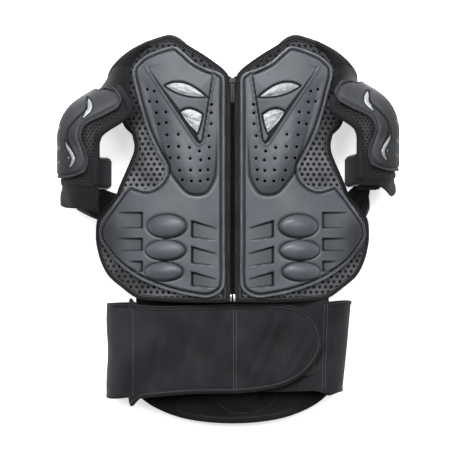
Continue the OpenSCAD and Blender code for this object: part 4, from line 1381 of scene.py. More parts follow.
    def build(self) -> None:
        """Build the whole zip."""
        for side, word, key in ((1, "left", "l"), (-1, "right", "r")):
            body = f"front_{word}"
            tape = self.tape(side, word)
            rows = [
                Bench.stitches(
                    "row",
                    np.column_stack([
                        np.full(110, x), np.linspace(self.hem_y + 4, self.top_y - 4, 110),
                        self.frame.lift(np.full(110, x), 1.75 - 0.06 * x)
                    ]),
                    upright(110), 2.5, 0.22
                )
                for x in (4.6, 8.9)
            ]
            sewn = Bench.join(f"zip_stitches_{word}", rows)
            coil = self.coil(side, word)
            stop = self.small_block(
                f"zip_stop_{word}", [(1.3, 187), (3.6, 187), (3.6, 190), (1.3, 190)], 72.2, 75.0, 0.5
            )
            end = [
                (0.95, -89.5), (3.5, -89.5), (3.6, -86), (3.3, -80.6), (1.0, -80.6)
            ] if side > 0 else [(1.0, -89.5), (2.9, -89.5), (2.9, -82), (2.5, -80.6), (1.2, -80.6)]
            box = self.small_block(f"zip_end_{word}", end, 71.9, 75.9 if side > 0 else 75.2, 0.45)
            for piece, finish, slot, nodes in (
                (tape, Finishes.BINDING, "binding_tape", [f"zip_tape_{key}"]),
                (sewn, Finishes.THREAD, "binding_tape", []),
                (coil, Finishes.COIL, "zip_coil", [f"zip_coil_{key}"]), (stop, Finishes.LACQUER, "zip_dark_metal", []),
                (box, Finishes.BRIGHT, "zip_metal", ["zip_box" if side > 0 else "zip_pin"]),
            ):
                self.frame.settle(piece, side)
                self.finishes.dress(piece, finish, slot)
                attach(piece, body)
                if nodes:
                    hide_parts(*nodes)
            cloth(tape, "stretched")
        for piece, body, node in ((self.slider(), "slider", "zip_slider"), (self.pull(), "pull", "zip_pull")):
            self.frame.settle(piece)
            self.finishes.dress(piece, Finishes.LACQUER, "zip_dark_metal")
            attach(piece, body)
            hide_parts(node)
        LOG.info("zip built")


# ---------------------------------------------------------------- back


@dataclass
class Back:
    """The back: fabric with its tail, binding, quilted lumbar pad and the spine armour behind it."""

    frame: Frame
    finishes: Finishes
    half_edge: Sequence[Point] = (
        (0, -246), (37, -243.8), (69, -237.6), (98, -226), (118, -212), (127, -198), (126, -170), (123, -120),
        (122, -80), (125, -40), (127, 6), (125, 50), (123, 96), (129, 128), (143, 166), (152, 194), (147, 208),
        (128, 226), (104, 236), (80, 241), (60, 230), (36, 212), (16, 193), (0, 185),
    )
    stitched_u: Sequence[Point] = (
        (-37, -203), (-31, -213), (-22, -223), (-8, -231.5), (12, -233), (29, -230), (43, -221.5), (51, -207),
        (53, -203),
    )

    def outline(self) -> np.ndarray:
        """Return the outline of the whole back."""
        half = np.array(self.half_edge, float)
        return spline(np.vstack([half, half[-2:0:-1] * (-1, 1)]), 3.2, True)

    def panel(self) -> Object:
        """Lay the back's fabric, turned up a little at the tail."""
        outline = self.outline()

        def height(x: np.ndarray, y: np.ndarray, e: np.ndarray) -> np.ndarray:
            """Lie flat, with a soft roll at the tail and the quilted pad's print."""
            tail = ease(-196, -232, y)
            pad = depth_in(x - 6, y, self.stitched_u)
            return self.frame.back_z + 2.9 + tail * (2.5 + 1.2 * ripple(x, y, 60, 2.0)) + 1.6 * ease(
                0.5, 6, pad
            ) - 0.9 * hump(0, 1.2, pad)

        obj = Bench.relief("back_fabric", outline, 2.6, height)
        Bench.thicken(obj, 2.6)
        Bench.smooth(obj, 40)
        return obj

    def build(self) -> None:
        """Build the back and dress the armour that shows behind it."""
        f = self.frame
        fabric = self.panel()
        outline = self.outline()
        path = inwards(outline, 3.4)
        z = f.back_z + 1.6 + ease(-196, -232, path[:, 1]) * 3.0
        tape = Bench.sweep(
            "back_binding_tape", np.column_stack([path, z]), upright(len(path)), ellipse(8.6, 5.0, 12, 0.55), True
        )
        Bench.smooth(tape, 60)
        seam = spline(inwards(outline, 6.6), 3.4, True)
        z = f.back_z + 3.75 + ease(-196, -232, seam[:, 1]) * 2.8
        rows = [Bench.stitches("row", np.column_stack([seam, z]), upright(len(seam)))]
        u = spline(self.stitched_u, 3.4, False) + (6, 0)
        z = f.back_z + 2.9 + ease(-196, -232, u[:, 1]) * 2.6
        rows.append(Bench.stitches("row", np.column_stack([u, z]), upright(len(u))))
        sewn = Bench.join("back_stitches", rows)
        for piece, finish, slot in (
            (fabric, Finishes.LINING, "spacer_mesh"), (tape, Finishes.BINDING, "binding_tape"),
            (sewn, Finishes.THREAD, "binding_tape"),
        ):
            f.settle(piece)
            self.finishes.dress(piece, finish, slot)
            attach(piece, "back")
        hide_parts("back_panel")
        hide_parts("back_binding")
        cloth(fabric, "laid")
        self.pad(
            "spine_cushion", "spine_pad", ((-36, -90), (36, -90), (38, 60), (36, 180), (-36, 180), (-38, 60)), 8.9,
            13.2
        )
        self.pad(
            "lumbar_cushion", "lumbar_pad",
            ((-31, -216), (31, -216), (33, -150), (33, -100), (-33, -100), (-33, -150)), 17.7, 21.0
        )
        for name in ("upper_back_plate", *(f"spine_plate_{n}" for n in range(1, 5))):
            self.finishes.dress(bpy.data.objects[name], Finishes.CAP)
        self.finishes.dress(bpy.data.objects["spine_rivets"], Finishes.RIVET)

    def pad(self, name: str, node: str, corners: Sequence[Point], low: float, high: float) -> None:
        """Stuff one soft pad by simulation."""
        obj = Bench.prism(name, spline(corners, 5, True), low, high)
        Bench.puff(obj, 2.6, 1.2, 0.7)
        Bench.smooth(obj, 60)
        self.frame.settle(obj)
        self.finishes.dress(obj, Finishes.FOAM, "foam")
        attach(obj, "back")
        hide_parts(node)


# ---------------------------------------------------------------- shoulders and sides


@dataclass
class Shoulders:
    """Stretch fabric over the shoulders, and the elastic that joins front and back at the sides."""

    frame: Frame
    finishes: Finishes
    crest: Sequence[Point] = (
        (60, 233), (70, 240), (80, 242.5), (93, 240), (108, 235), (124, 227), (139, 216.5), (150, 206), (156, 197),
        (157.5, 190),
    )
    inner: Sequence[Point] = ((112, 226), (120, 216), (127, 204), (129, 190))
    elastic_y: tuple[float, float] = (-71, -51)

    def roll(self, word: str) -> Object:
        """Roll the fabric over the crest of the shoulder and down to the back."""
        crest = spline(self.crest, 3, False)
        ahead = np.gradient(crest, axis=0)
        ahead /= np.linalg.norm(ahead, axis=1)[:, None]
        out = np.column_stack([-ahead[:, 1], ahead[:, 0]])
        rows = len(crest)
        top = self.frame.lift(crest[:, 0], -1.6)

        def shape(u: np.ndarray, v: np.ndarray) -> np.ndarray:
            """Go from the front's edge over the bulge to the back's edge."""
            i = np.rint(v * (rows - 1)).astype(int)
            bulge = 4.2 * np.sin(np.pi * np.clip(u, 0, 1)) ** 0.8 - 2.4
            z = top[i] + (16.0 - top[i]) * ease(-0.15, 1.15, u)
            ends = np.sin(np.pi * v) ** 0.4
            flat = crest[i] + out[i] * (bulge * ends + 0.5 * np.sin(9 * v + 3 * u))[:, None]
            return np.column_stack([flat, z])

        obj = Bench.surface(f"shoulder_roll_{word}", 16, rows - 1, shape, (46, 3.0 * rows))
        Bench.thicken(obj, 2.4, 0)
        return Bench.smooth(obj, 60)

    def cap(self, word: str) -> Object:
        """Lay the stretch band that runs from the shoulder towards the arm."""
        outer = spline([(104, 236.5), (124, 227.5), (139, 217), (150, 206.5), (156.5, 197), (157.5, 189)], 3, False)
        inner = spline([(104, 229), (114, 223), (122, 213), (128, 202), (130, 195), (130, 188)], 3, False)
        rows = 26
        at = np.linspace(0, 1, rows)

        def along(curve: np.ndarray) -> np.ndarray:
            """Take evenly spaced points of a curve."""
            places = at * (len(curve) - 1)
            return np.column_stack([np.interp(places, np.arange(len(curve)), curve[:, k]) for k in (0, 1)])

        a, b = along(inner), along(outer)

        def shape(u: np.ndarray, v: np.ndarray) -> np.ndarray:
            """Cross the band from its inner seam to the rolled edge."""
            i = np.rint(v * (rows - 1)).astype(int)
            flat = a[i] + (b[i] - a[i]) * u[:, None]
            z = self.frame.lift(flat[:, 0], 1.7 * np.sin(np.pi * np.clip(u * 1.05, 0, 1)) + 0.6 * np.sin(7 * v) * u)
            return np.column_stack([flat, z - 2.6 * ease(0.72, 1.0, u)])

        obj = Bench.surface(f"shoulder_band_{word}", 14, rows - 1, shape, (28, 70))
        Bench.thicken(obj, 1.6)
        return Bench.smooth(obj, 60)

    def web(self, side: int, word: str) -> Object:
        """Bridge from the shoulder's edge to the top of the arm guard."""
        shift = (0.0, 0.0, 0.0) if side > 0 else (11.0, -9.0, 0.0)
        near = spline([(128, 203, 47), (139, 207, 43.5), (150, 203, 37), (156, 195, 30), (157, 188, 21)], 2.4, False)
        far = spline(
            [
                (126 + shift[0] * 0.4, 168 + shift[1], 74), (138 + shift[0], 180 + shift[1], 75.5),
                (148 + shift[0], 184.5 + shift[1], 68), (158 + shift[0], 182 + shift[1], 56),
                (162 + shift[0], 176 + shift[1], 44)
            ],
            2.4, False
        )
        rows = 22
        at = np.linspace(0, 1, rows)
        a, b = (np.column_stack([np.interp(at * (len(c) - 1), np.arange(len(c)), c[:, k]) for k in range(3)]) for c in (
            near, far
        ))

        def shape(u: np.ndarray, v: np.ndarray) -> np.ndarray:
            """Hang a little between the two edges, in soft folds."""
            i = np.rint(v * (rows - 1)).astype(int)
            p = a[i] + (b[i] - a[i]) * u[:, None]
            sag = np.sin(np.pi * u)
            p[:, 2] -= sag * (3.2 + 1.3 * np.sin(11 * v + 2 * u))
            p[:, 1] -= sag * 1.5
            return p

        obj = Bench.surface(f"arm_web_{word}", 18, rows - 1, shape, (34, 52))
        Bench.outwards(obj)
        Bench.thicken(obj, 1.8, 0)
        return Bench.smooth(obj, 60)

    def build(self) -> None:
        """Build both shoulders and both side elastics."""
        f = self.frame
        for side, word, key in ((1, "left", "l"), (-1, "right", "r")):
            roll, band, web = self.roll(word), self.cap(word), self.web(side, word)
            for piece, finish, slot in (
                (roll, Finishes.STRETCH, "spacer_mesh"), (band, Finishes.STRETCH, "spacer_mesh"),
                (web, Finishes.STRETCH, "elastic"),
            ):
                f.settle(piece, side)
                self.finishes.dress(piece, finish, slot)
            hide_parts(f"shoulder_yoke_{key}")
            f.spot(0, 0, 19)
            f.spot(0, 0, 50)
            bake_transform(roll)
            normal = np.array([0.9593 * side, 0.2824])
            top = np.array([f.fold_top[0] * side, f.fold_top[1]])
            start, end = top + normal * 50, top + normal * 28
            f.spot(*start, 40)
            f.spot(*end, 40)
            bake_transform(band)
            f.spot(side * 150, 198, 40)
            f.spot(side * 150, 184, 62)
            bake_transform(web)
            cloth(roll, "stretched")
            cloth(band, "stretched")
            cloth(web, "stretched")
            self.side_elastic(side, word, key)

    def side_elastic(self, side: int, word: str, key: str) -> None:
        """Loop the side elastic from the back's edge up to the front's edge."""
        low, high = self.elastic_y

        def shape(u: np.ndarray, v: np.ndarray) -> np.ndarray:
            """Lie on the back, then turn up inside the front's edge."""
            x = 104 + 32 * u + 5 * ease(0.45, 1.0, u)
            z = 18.4 + 15.5 * ease(0.5, 1.0, u) ** 1.4
            return np.column_stack([x, low + (high - low) * v, z])

        obj = Bench.surface(f"side_elastic_band_{word}", 26, 10, shape, (20, 60))
        Bench.thicken(obj, 1.4, 0)
        Bench.smooth(obj, 60)
        self.frame.settle(obj, side)
        self.finishes.dress(obj, Finishes.ELASTIC, "elastic")
        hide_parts(f"side_elastic_{key}")
        self.frame.spot(0, 0, 20)
        self.frame.spot(0, 0, 34)
        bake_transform(obj)
        cloth(obj, "stretched")


# ---------------------------------------------------------------- belt


@dataclass
class Belt:
    """The waist belt: a band round the back, an under panel and the flap that closes over it."""

    frame: Frame
    finishes: Finishes
    hinge_r: float = -130.5
    hinge_l: float = 123.0
    thick: float = 3.3
    back_z: float = 4.75
    flap_z: float = 58.0
    under_z: float = 51.0
    top_y: float = -93.5
    low_y: float = -209.5
    flap_edge: Sequence[Point] = (
        (-130.2, -213), (-115, -211.2), (-100, -209.4), (-65, -206), (-40, -204.9), (-18, -204.5), (5, -204.2),
        (37, -201),
        (61, -196), (81.6, -186.4), (96, -175), (107, -159.4), (112.5, -143.4), (110.5, -129), (104, -114.4),
        (93, -103.5), (77, -96), (53, -93), (21, -93), (-10, -93.8), (-50, -95.2), (-90, -96), (-118, -94.6),
        (-130.2, -94.6),
    )

    @staticmethod
    def crown(x: np.ndarray) -> np.ndarray:
        """Return how far the front of the belt bows up."""
        return 3.2 * np.maximum(0, 1 - (x / 134) ** 2)

    def flap_height(self, x: np.ndarray, y: np.ndarray, e: np.ndarray) -> np.ndarray:
        """Return the flap's upper side, with its creases, seam and turned edge."""
        z = self.flap_z + self.crown(x)
        z = z + 0.9 * ripple(x, y, 95, 0.6) * ease(0, 26, e) + 0.5 * ripple(x, y * 0.6, 34, 2.2) * ease(4, 20, e)
        for cx, slope, size in (
            (-92, 0.06, 1.0), (-62, -0.2, 0.7), (-20, 0.12, 0.8), (38, 0.35, 1.1), (58, -0.22, 0.7), (88, 0.42, 0.9)
        ):
            across = x - cx - slope * (y + 150) - 3 * np.sin((y + 150) / 21)
            z = z + 2.8 * size * (hump(4.5, 5, across) - 0.8 * hump(-3.5, 4.5, across)) * ease(4, 22, e)
        z = z - 0.9 * hump(3, 1.3, x) * ease(5, 8, e)
        z = z - 0.8 * hump(5.6, 1.2, e) - 0.9 * ease(1.8, 0, e)
        return z - 0.5 * hump(-127, 2, x)

    def flap(self) -> None:
        """Cut, bind and sew the flap, with the hook patch beneath it."""
        f = self.frame
        outline = spline(self.flap_edge, 2.6, True)
        obj = Bench.relief("belt_flap_cloth", outline, 1.9, self.flap_height)
        Bench.thicken(obj, self.thick)
        Bench.smooth(obj, 45)
        edge = spline(np.array(self.flap_edge, float), 2.6, True)
        free = edge[edge[:, 0] > -129.0]
        start = int(np.argmin(free[:, 0] + 1000 * (free[:, 1] > -150)))
        free = np.roll(free, -start, axis=0)
        ahead = np.gradient(free, axis=0)
        ahead /= np.linalg.norm(ahead, axis=1)[:, None]
        path = free + np.column_stack([-ahead[:, 1], ahead[:, 0]]) * 2.4
        z = self.flap_z + self.crown(path[:, 0]) - 1.5 + 0.9 * ripple(path[:, 0], path[:, 1], 95, 0.6) * 0.05
        tape = Bench.sweep(
            "belt_flap_binding_tape", np.column_stack([path, z]), upright(len(path)), ellipse(5.6, 5.2, 12, 0.5),
            False
        )
        Bench.smooth(tape, 60)
        line = free + np.column_stack([-ahead[:, 1], ahead[:, 0]]) * 4.3
        line = spline(line[::4], 3.3, False)
        rows = [Bench.stitches(
            "row", np.column_stack([line, self.flap_z + self.crown(line[:, 0]) + 0.85]), upright(len(line))
        )]
        for x, low, high in ((1.2, -197, -100), (4.8, -197, -100), (-124.5, -207, -99)):
            y = np.arange(low, high, 3.2)
            q = np.column_stack([np.full(len(y), x), y])
            z = self.flap_height(q[:, 0], y, np.full(len(y), 30.0)) + 0.12
            rows.append(Bench.stitches("row", np.column_stack([q, z]), upright(len(y)), 3.2))
        sewn = Bench.join("belt_flap_stitches", rows)
        hook = self.patch("belt_hook_tape", (31, 100, -183, -110), self.flap_z - 3.45, 1.5, down=True)
        for piece, finish, slot in (
            (obj, Finishes.BELT, "belt_fabric"), (tape, Finishes.BINDING, "binding_tape"),
            (sewn, Finishes.THREAD, "binding_tape"),
            (hook, Finishes.HOOK, "hook_and_loop"),
        ):
            f.settle(piece)
            self.finishes.dress(piece, finish, slot)
            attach(piece, "flap")
        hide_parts("belt_flap")
        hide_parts("belt_flap_binding")
        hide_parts("belt_hook_patch")
        cloth(obj, "folded")

    def patch(self, name: str, box: Sequence[float], top: float, thick: float, down: bool) -> Object:
        """Cut one rounded patch of hook or loop tape that follows the belt's bow."""
        x0, x1, y0, y1 = box
        r = 7.0
        corners = []
        for cx, cy, start in ((x1 - r, y0 + r, -90), (x1 - r, y1 - r, 0), (x0 + r, y1 - r, 90), (x0 + r, y0 + r, 180)):
            for step in range(6):
                turn = math.radians(start + 18 * step)
                corners.append((cx + r * math.cos(turn), cy + r * math.sin(turn)))
        obj = Bench.relief(
            name, np.array(corners), 3.0, lambda x, y,
            e: top + self.crown(x) - (0.0 if down else 0.5) * ease(1.5, 0, e)
        )
        Bench.thicken(obj, thick)
        return Bench.smooth(obj, 40)

    def band(self) -> None:
        """Run the band round the back, turned back on itself at both ends."""
        f = self.frame
        r_right, r_left = (self.flap_z - 1.65 - self.back_z) / 2, (self.under_z - 1.65 - self.back_z) / 2
        mid_right, mid_left = self.back_z + r_right, self.back_z + r_left
        turn = np.linspace(math.pi / 2, 3 * math.pi / 2, 24)
        right = np.column_stack([self.hinge_r + r_right * np.cos(turn), mid_right + r_right * np.sin(turn)])
        flat = np.column_stack([np.linspace(self.hinge_r + 6, self.hinge_l - 6, 40), np.full(40, self.back_z)])
        left = np.column_stack([
            self.hinge_l + r_left * np.cos(turn[::-1] + math.pi), mid_left + r_left * np.sin(turn[::-1] + math.pi)
        ])
        loop = np.vstack([right, flat, left])
        order = np.linalg.norm(np.diff(loop, axis=0), axis=1)
        along = np.concatenate([[0], np.cumsum(order)])
        rows = 150
        even = np.linspace(0, along[-1], rows)
        loop = np.column_stack([np.interp(even, along, loop[:, k]) for k in (0, 1)])
        height = self.top_y - self.low_y

        def shape(u: np.ndarray, v: np.ndarray) -> np.ndarray:
            """Sweep the band's line down its height; its ends lean like the real belt's."""
            i = np.rint(v * (rows - 1)).astype(int)
            x, z = loop[i, 0].copy(), loop[i, 1].copy()
            y = self.top_y - height * u
            left_end, right_end = ease(
                self.hinge_l - 10, self.hinge_l + 22, x
            ), ease(self.hinge_r + 10, self.hinge_r - 24, x)
            x += left_end * (3.4 - 11.0 * u) - right_end * (0.8 + 0.9 * np.sin(9 * u))
            upper = ease(self.back_z + 8, self.back_z + 40, z)
            y = y - 3.0 * upper * right_end * ease(
                0.4, 1.0, u
            ) + 3.0 * left_end * ease(0.6, 0, u) + 5.0 * left_end * ease(0.4, 1.0, u)
            z += 0.7 * np.sin(v * 41 + 3 * u) * np.sin(np.pi * u)
            return np.column_stack([x, y, z])

        obj = Bench.surface("belt_band", 44, rows - 1, shape, (height, float(along[-1])))
        Bench.thicken(obj, self.thick, 0)
        Bench.smooth(obj, 45)
        edges = []
        for u in (0.0, 1.0):
            path = shape(np.full(rows, u), np.linspace(0, 1, rows))
            path[:, 1] += -2.0 if u == 0 else 2.0
            near = np.gradient(loop, axis=0)
            near /= np.linalg.norm(near, axis=1)[:, None]
            up = np.column_stack([near[:, 1], np.zeros(rows), -near[:, 0]])
            edges.append(Bench.sweep("edge", path, up, ellipse(5.0, 4.9, 10, 0.5), False))
        tape = Bench.smooth(Bench.join("belt_band_binding", edges), 60)
        for piece, finish, slot in ((obj, Finishes.BELT, "belt_fabric"), (tape, Finishes.BINDING, "binding_tape")):
            f.settle(piece)
            self.finishes.dress(piece, finish, slot)
            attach(piece, "back")
        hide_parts("belt_back", "belt_fold_l", "belt_fold_r")
        cloth(obj, "folded")

    def under(self) -> None:
        """Cut the under panel with its loop patch."""
        f = self.frame
        outline = spline([
            (-6, -203), (20, -203.5), (60, -203.5), (100, -202.5), (122.4, -201.5), (122.6, -150), (122.8, -91.6),
            (80, -91.5), (30, -92.2),
            (-6, -93), (-6.5, -150)], 3, True)

        def height(x: np.ndarray, y: np.ndarray, e: np.ndarray) -> np.ndarray:
            """Lie under the flap, with a groove at the seam and soft waves."""
            z = self.under_z + self.crown(x) - 0.8 * ease(2, 0, e) - 0.5 * hump(5, 1.3, e)
            return z - 0.9 * hump(117.5 + 0.03 * (y + 90), 1.3, x) + 0.5 * ripple(x, y, 70, 3.1) * ease(100, 112, x)

        obj = Bench.relief("belt_under_cloth", outline, 2.2, height)
        Bench.thicken(obj, self.thick)
        Bench.smooth(obj, 45)
        y = np.arange(-198, -95, 3.3)
        rows = []
        for x in (115.6, 119.4):
            q = np.column_stack([x + 0.03 * (y + 90), y, self.under_z + self.crown(np.full(len(y), x)) + 0.15])
            rows.append(Bench.stitches("row", q, upright(len(y)), 3.3))
        sewn = Bench.join("belt_under_stitches", rows)
        loop = self.patch("belt_loop_tape", (0, 104, -183, -110), self.under_z + 1.55, 1.45, down=False)
        for piece, finish, slot in (
            (obj, Finishes.BELT, "belt_fabric"), (sewn, Finishes.THREAD, "binding_tape"),
            (loop, Finishes.HOOK, "hook_and_loop"),
        ):
            f.settle(piece)
            self.finishes.dress(piece, finish, slot)
            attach(piece, "under")
        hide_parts("belt_under")
        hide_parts("belt_loop_patch")
        cloth(obj, "folded")

    def build(self) -> None:
        """Build the belt from the back to the flap."""
        self.band()
        self.under()
        self.flap()


# ---------------------------------------------------------------- arm guards


@dataclass
class ArmGuard:
    """One arm guard: padded sleeve, moulded elbow shell with silver trim, straps and cuff."""

    frame: Frame
    finishes: Finishes
    side: int
    elbow: tuple[float, float]
    axis_z: float = 44.0
    line: Sequence[Point] = (
        (0, -110), (0, -85), (0, -60), (0, -38), (0, -16), (-1, -3), (-5, 6), (-12, 12), (-26, 20.5), (-42, 30.5),
        (-62, 43.5),
    )
    shell_edge: Sequence[Point] = (
        (-70, 52), (-48, 38.5), (-36, 32.5), (-22, 25), (-6, 18), (4.5, 12), (9, 3), (7.5, -6), (1.5, -19),
        (-1.5, -28), (0, -39),
        (4, -47), (12, -60), (80, -60), (80, 110), (-70, 110),
    )
    pad_edge: Sequence[Point] = (
        (-80, 44), (-56, 30), (-42, 17), (-28, 9), (-17, 1), (-13, -9), (-13, -17), (-13, -60), (-13, -120),
        (80, -120), (80, 110), (-80, 110),
    )
    ess: Sequence[Point] = (
        (1.5, 47), (1.6, 38), (4.4, 31), (10, 25.6), (18, 17.3), (23.6, 9.5), (26, 1.5), (25.4, -4), (21.6, -14),
        (18.6, -20.5),
    )
    upper_crescent: Sequence[Point] = (
        (-0.4, 47.5), (-3.4, 42.5), (-4.8, 37.6), (-4.0, 32.6), (-1.4, 28.6), (6.4, 21.8), (3.6, 29.4), (1.0, 33),
        (0.6, 37), (1.0, 43),
    )
    lower_crescent: Sequence[Point] = (
        (28.6, -5.4), (24.0, -13.6), (19.2, -20.6), (16.6, -26.6), (17.6, -33.2), (23.8, -39.6), (21.2, -32.4),
        (20.6, -27.4), (23.2, -21.6), (27.4, -13.6),
    )
    strap_y: tuple[float, float] = (-64, -27)

    @property
    def word(self) -> str:
        """Name the side."""
        return "left" if self.side > 0 else "right"

    def samples(self) -> tuple[np.ndarray, np.ndarray, np.ndarray]:
        """Return the arm line's distances from the elbow, its places and its outward normals."""
        path = spline(self.line, 1.5, False)
        ahead = np.gradient(path, axis=0)
        ahead /= np.linalg.norm(ahead, axis=1)[:, None]
        along = np.concatenate([[0], np.cumsum(np.linalg.norm(np.diff(path, axis=0), axis=1))])
        along -= along[int(np.argmin(np.abs(path).sum(1)))]
        normal = np.column_stack([ahead[:, 1], -ahead[:, 0]])
        for _ in range(10):
            normal[1:-1] = (normal[:-2] + normal[1:-1] + normal[2:]) / 3
        return along, path, normal / np.linalg.norm(normal, axis=1)[:, None]

    @staticmethod
    def girth(s: np.ndarray, radius: float) -> np.ndarray:
        """Return the radius in plan; the elbow bulges."""
        return radius + 4.0 * ease(-16, 12, s) * ease(58, 34, s)

    def reach(self, edge: Sequence[Point], radius: float, room: bool) -> tuple[np.ndarray, np.ndarray]:
        """Find the angles between which the guard is closed, along the arm line.

        Args:
            edge: Outline in plan; its inner side is where the guard ends.
            radius: Radius of the piece.
            room: Whether the underside near the vest is left open.

        Returns:
            The lowest and the highest angle at each sample, in radians.
        """
        along, path, normal = self.samples()
        size = self.girth(along, radius)
        steps = np.linspace(-0.995, 0.98, 160)
        trial = path[:, None, :] + normal[:, None, :] * (steps[None, :, None] * size[:, None, None])
        inside, _ = nearest(trial.reshape(-1, 2), np.array(edge, float))
        inside = (inside > 0).reshape(len(path), -1)
        first = np.array([steps[row.argmax()] if row.any() else 0.9 for row in inside])
        high = np.arccos(np.clip(first, -1, 1))
        limit = np.clip((-6 - path[:, 0]) / (size * np.maximum(normal[:, 0], 0.05)), -1, 0.9)
        low = np.maximum(-np.arccos(limit), math.radians(-104))
        low = np.where(path[:, 0] + size * normal[:, 0] * 0.9 < -6, math.radians(27), low)
        if not room:
            low = np.maximum(low, math.radians(-66))
        kernel = np.ones(9) / 9
        high, low = (np.convolve(np.pad(a, 4, mode="edge"), kernel, mode="valid") for a in (high, low))
        return low, high

    def wrap(self, name: str, edge: Sequence[Point], radius: float, thick: float, start: Callable, end: Callable,
             cells: tuple[int, int], room: bool, extra: Callable) -> Object:
        """Wrap a closed wall round the arm line.

        Args:
            name: The piece's name.
            edge: Its outline in plan.
            radius: Its outer radius.
            thick: Its wall.
            start: Takes the share across, and returns where along the line the piece starts.
            end: The same for where it ends.
            cells: Cells across one face and along.
            room: Whether the wall goes right round underneath.
            extra: Takes x, y, the angle and the distance from the edge, and returns what is added to the radius.

        Returns:
            The closed wall, in millimetres about the elbow.
        """
        along, path, normal = self.samples()
        low, high = self.reach(edge, radius, room)
        across, rows = cells

        def shape(u: np.ndarray, v: np.ndarray) -> np.ndarray:
            """Go out along the outer face and back along the inner one."""
            turn = u * 2
            w = np.where(turn <= 1, turn, 2 - turn)
            face = np.where(turn <= 1, 1.0, -1.0)
            w = 0.6 * w + 0.4 * (0.5 - 0.5 * np.cos(math.pi * w))
            v = 0.7 * v + 0.3 * (0.5 - 0.5 * np.cos(math.pi * v))
            s = start(w) + (end(w) - start(w)) * v
            a, b = np.interp(s, along, low), np.interp(s, along, high)
            angle = a + (b - a) * w
            c = np.column_stack([np.interp(s, along, path[:, k]) for k in (0, 1)])
            n = np.column_stack([np.interp(s, along, normal[:, k]) for k in (0, 1)])
            n /= np.linalg.norm(n, axis=1)[:, None]
            size = self.girth(s, radius)
            e_w = np.minimum(w, 1 - w) * np.abs(b - a) * radius
            e_v = np.minimum(v, 1 - v) * np.abs(end(w) - start(w))
            e = e_w * e_v / np.sqrt(e_w**2 + e_v**2 + 1e-9)
            flat = c + n * (size * np.cos(angle))[:, None]
            more = extra(flat[:, 0], flat[:, 1], angle, e)
            k = np.sqrt(np.maximum(0, 1 - (1 - np.clip(e / (0.55 * thick), 0, 1)) ** 2))
            wall = size - thick / 2 + np.where(face > 0, 1, 0.4) * more * np.clip(e / 1.2, 0, 1) + face * k * thick / 2
            tall = np.minimum(wall, wall * (radius + 1.5) / size)
            tall = np.where(angle < 0, wall * radius / size, tall)
            return np.column_stack([c + n * (wall * np.cos(angle))[:, None], tall * np.sin(angle)])

        obj = Bench.surface(name, across * 2, rows, shape, (2 * radius * 3, 130))
        Bench.outwards(obj)
        return Bench.smooth(obj, 50)

    def top(self, x: np.ndarray, y: np.ndarray, radius: float) -> np.ndarray:
        """Return how high the guard's skin is above its axis at places in plan."""
        along, path, _ = self.samples()
        points = np.column_stack([x, y])
        gaps = np.linalg.norm(points[:, None, :] - path[None], axis=2)
        best = gaps.argmin(1)
        far = gaps[np.arange(len(points)), best]
        size = self.girth(along[best], radius)
        return np.minimum(1, (radius + 1.5) / size) * np.sqrt(np.maximum(size**2 - far**2, 1.0))

    def home(self, obj: Object) -> Object:
        """Move a piece drawn about the elbow to its place on the vest."""
        points = Bench.points(obj)
        points += (self.elbow[0], self.elbow[1], self.axis_z)
        Bench.place(obj, points)
        return self.frame.settle(obj, self.side)

    def shell(self) -> Object:
        """Mould the elbow shell, with its rim, its curved step and its recesses."""
        ess = spline(self.ess, 1.0, False)

        def extra(x: np.ndarray, y: np.ndarray, angle: np.ndarray, e: np.ndarray) -> np.ndarray:
            """Raise the lip and press the curved line."""
            more = 0.9 * hump(1.2, 1.1, e) - 0.8 * hump(3.9, 0.9, e) + 0.9 * ease(4.6, 7.4, e)
            gap = np.full(len(x), 60.0)
            on_top = angle > -0.2
            if on_top.any():
                points = np.column_stack([x, y])[on_top]
                gap[on_top] = np.sqrt(((points[:, None] - ess[None]) ** 2).sum(2)).min(1)
            more = more - 1.3 * hump(0, 1.5, gap) + 0.7 * hump(2.9, 1.3, gap)
            for outline in (self.upper_crescent, self.lower_crescent):
                far = depth_in(x, y, outline)
                more = more - np.where(on_top, 1.0, 0.0) * 1.2 * ease(-1.6, 0.2, far)
            for cx, cy, size in ((38.3, 11, 1.9), (38.6, -14, 2.1), (38.6, -32, 2.1), (24.6, -27, 1.7)):
                more = more - 1.6 * np.exp(-(((x - cx) / size) ** 2 * 1.3 + ((y - cy) / (size * 1.5)) ** 2)) * np.where(
                    angle > 0, 1, 0
                )
            return more

        obj = self.wrap(
            f"arm_shell_moulded_{self.word}", self.shell_edge, 41.0, 3.0,
            lambda w: -53 + 7 * np.clip((w - 0.7) / 0.3, 0, 1) ** 3 + 1.5 * (1 - w),
            lambda w: 60 - 13 * np.clip((w - 0.62) / 0.38, 0, 1) ** 2.5 - 10 * np.clip((0.35 - w) / 0.35, 0, 1) ** 2,
            (104, 112), False, extra)
        Bench.shade(obj, self.shell_recess)
        return obj

    def shell_recess(self, x: np.ndarray, y: np.ndarray) -> np.ndarray:
        """Return the painted shade on the shell, from 0 to 1: along its curved line, round the crescents and across its
        outer side, which turns away from the light.
        """
        place = np.stack([x, y], axis=1)
        ess = spline(self.ess, 1.0, False)
        gap = np.concatenate([
            np.sqrt(((part[:, None] - ess[None]) ** 2).sum(2)).min(1)
            for part in np.array_split(place, 1 + len(place) // 4000)])
        dark = np.maximum(0.9 * hump(0, 1.5, gap), 0.55 * ease(6, 36, x))
        for outline in (self.upper_crescent, self.lower_crescent):
            dark = np.maximum(dark, 0.95 * ease(-2.2, -1.0, depth_in(x, y, outline)))
        return dark

    @staticmethod
    def pad_recess(x: np.ndarray, y: np.ndarray) -> np.ndarray:
        """Return how shaded the pad is: pale only inside the elbow's bend."""
        # Painted shade all over the pad, lighter only inside the elbow's bend.
        return 0.75 - 0.75 * np.exp(-((y + 6) / 17) ** 2) * ease(6, -2, x)

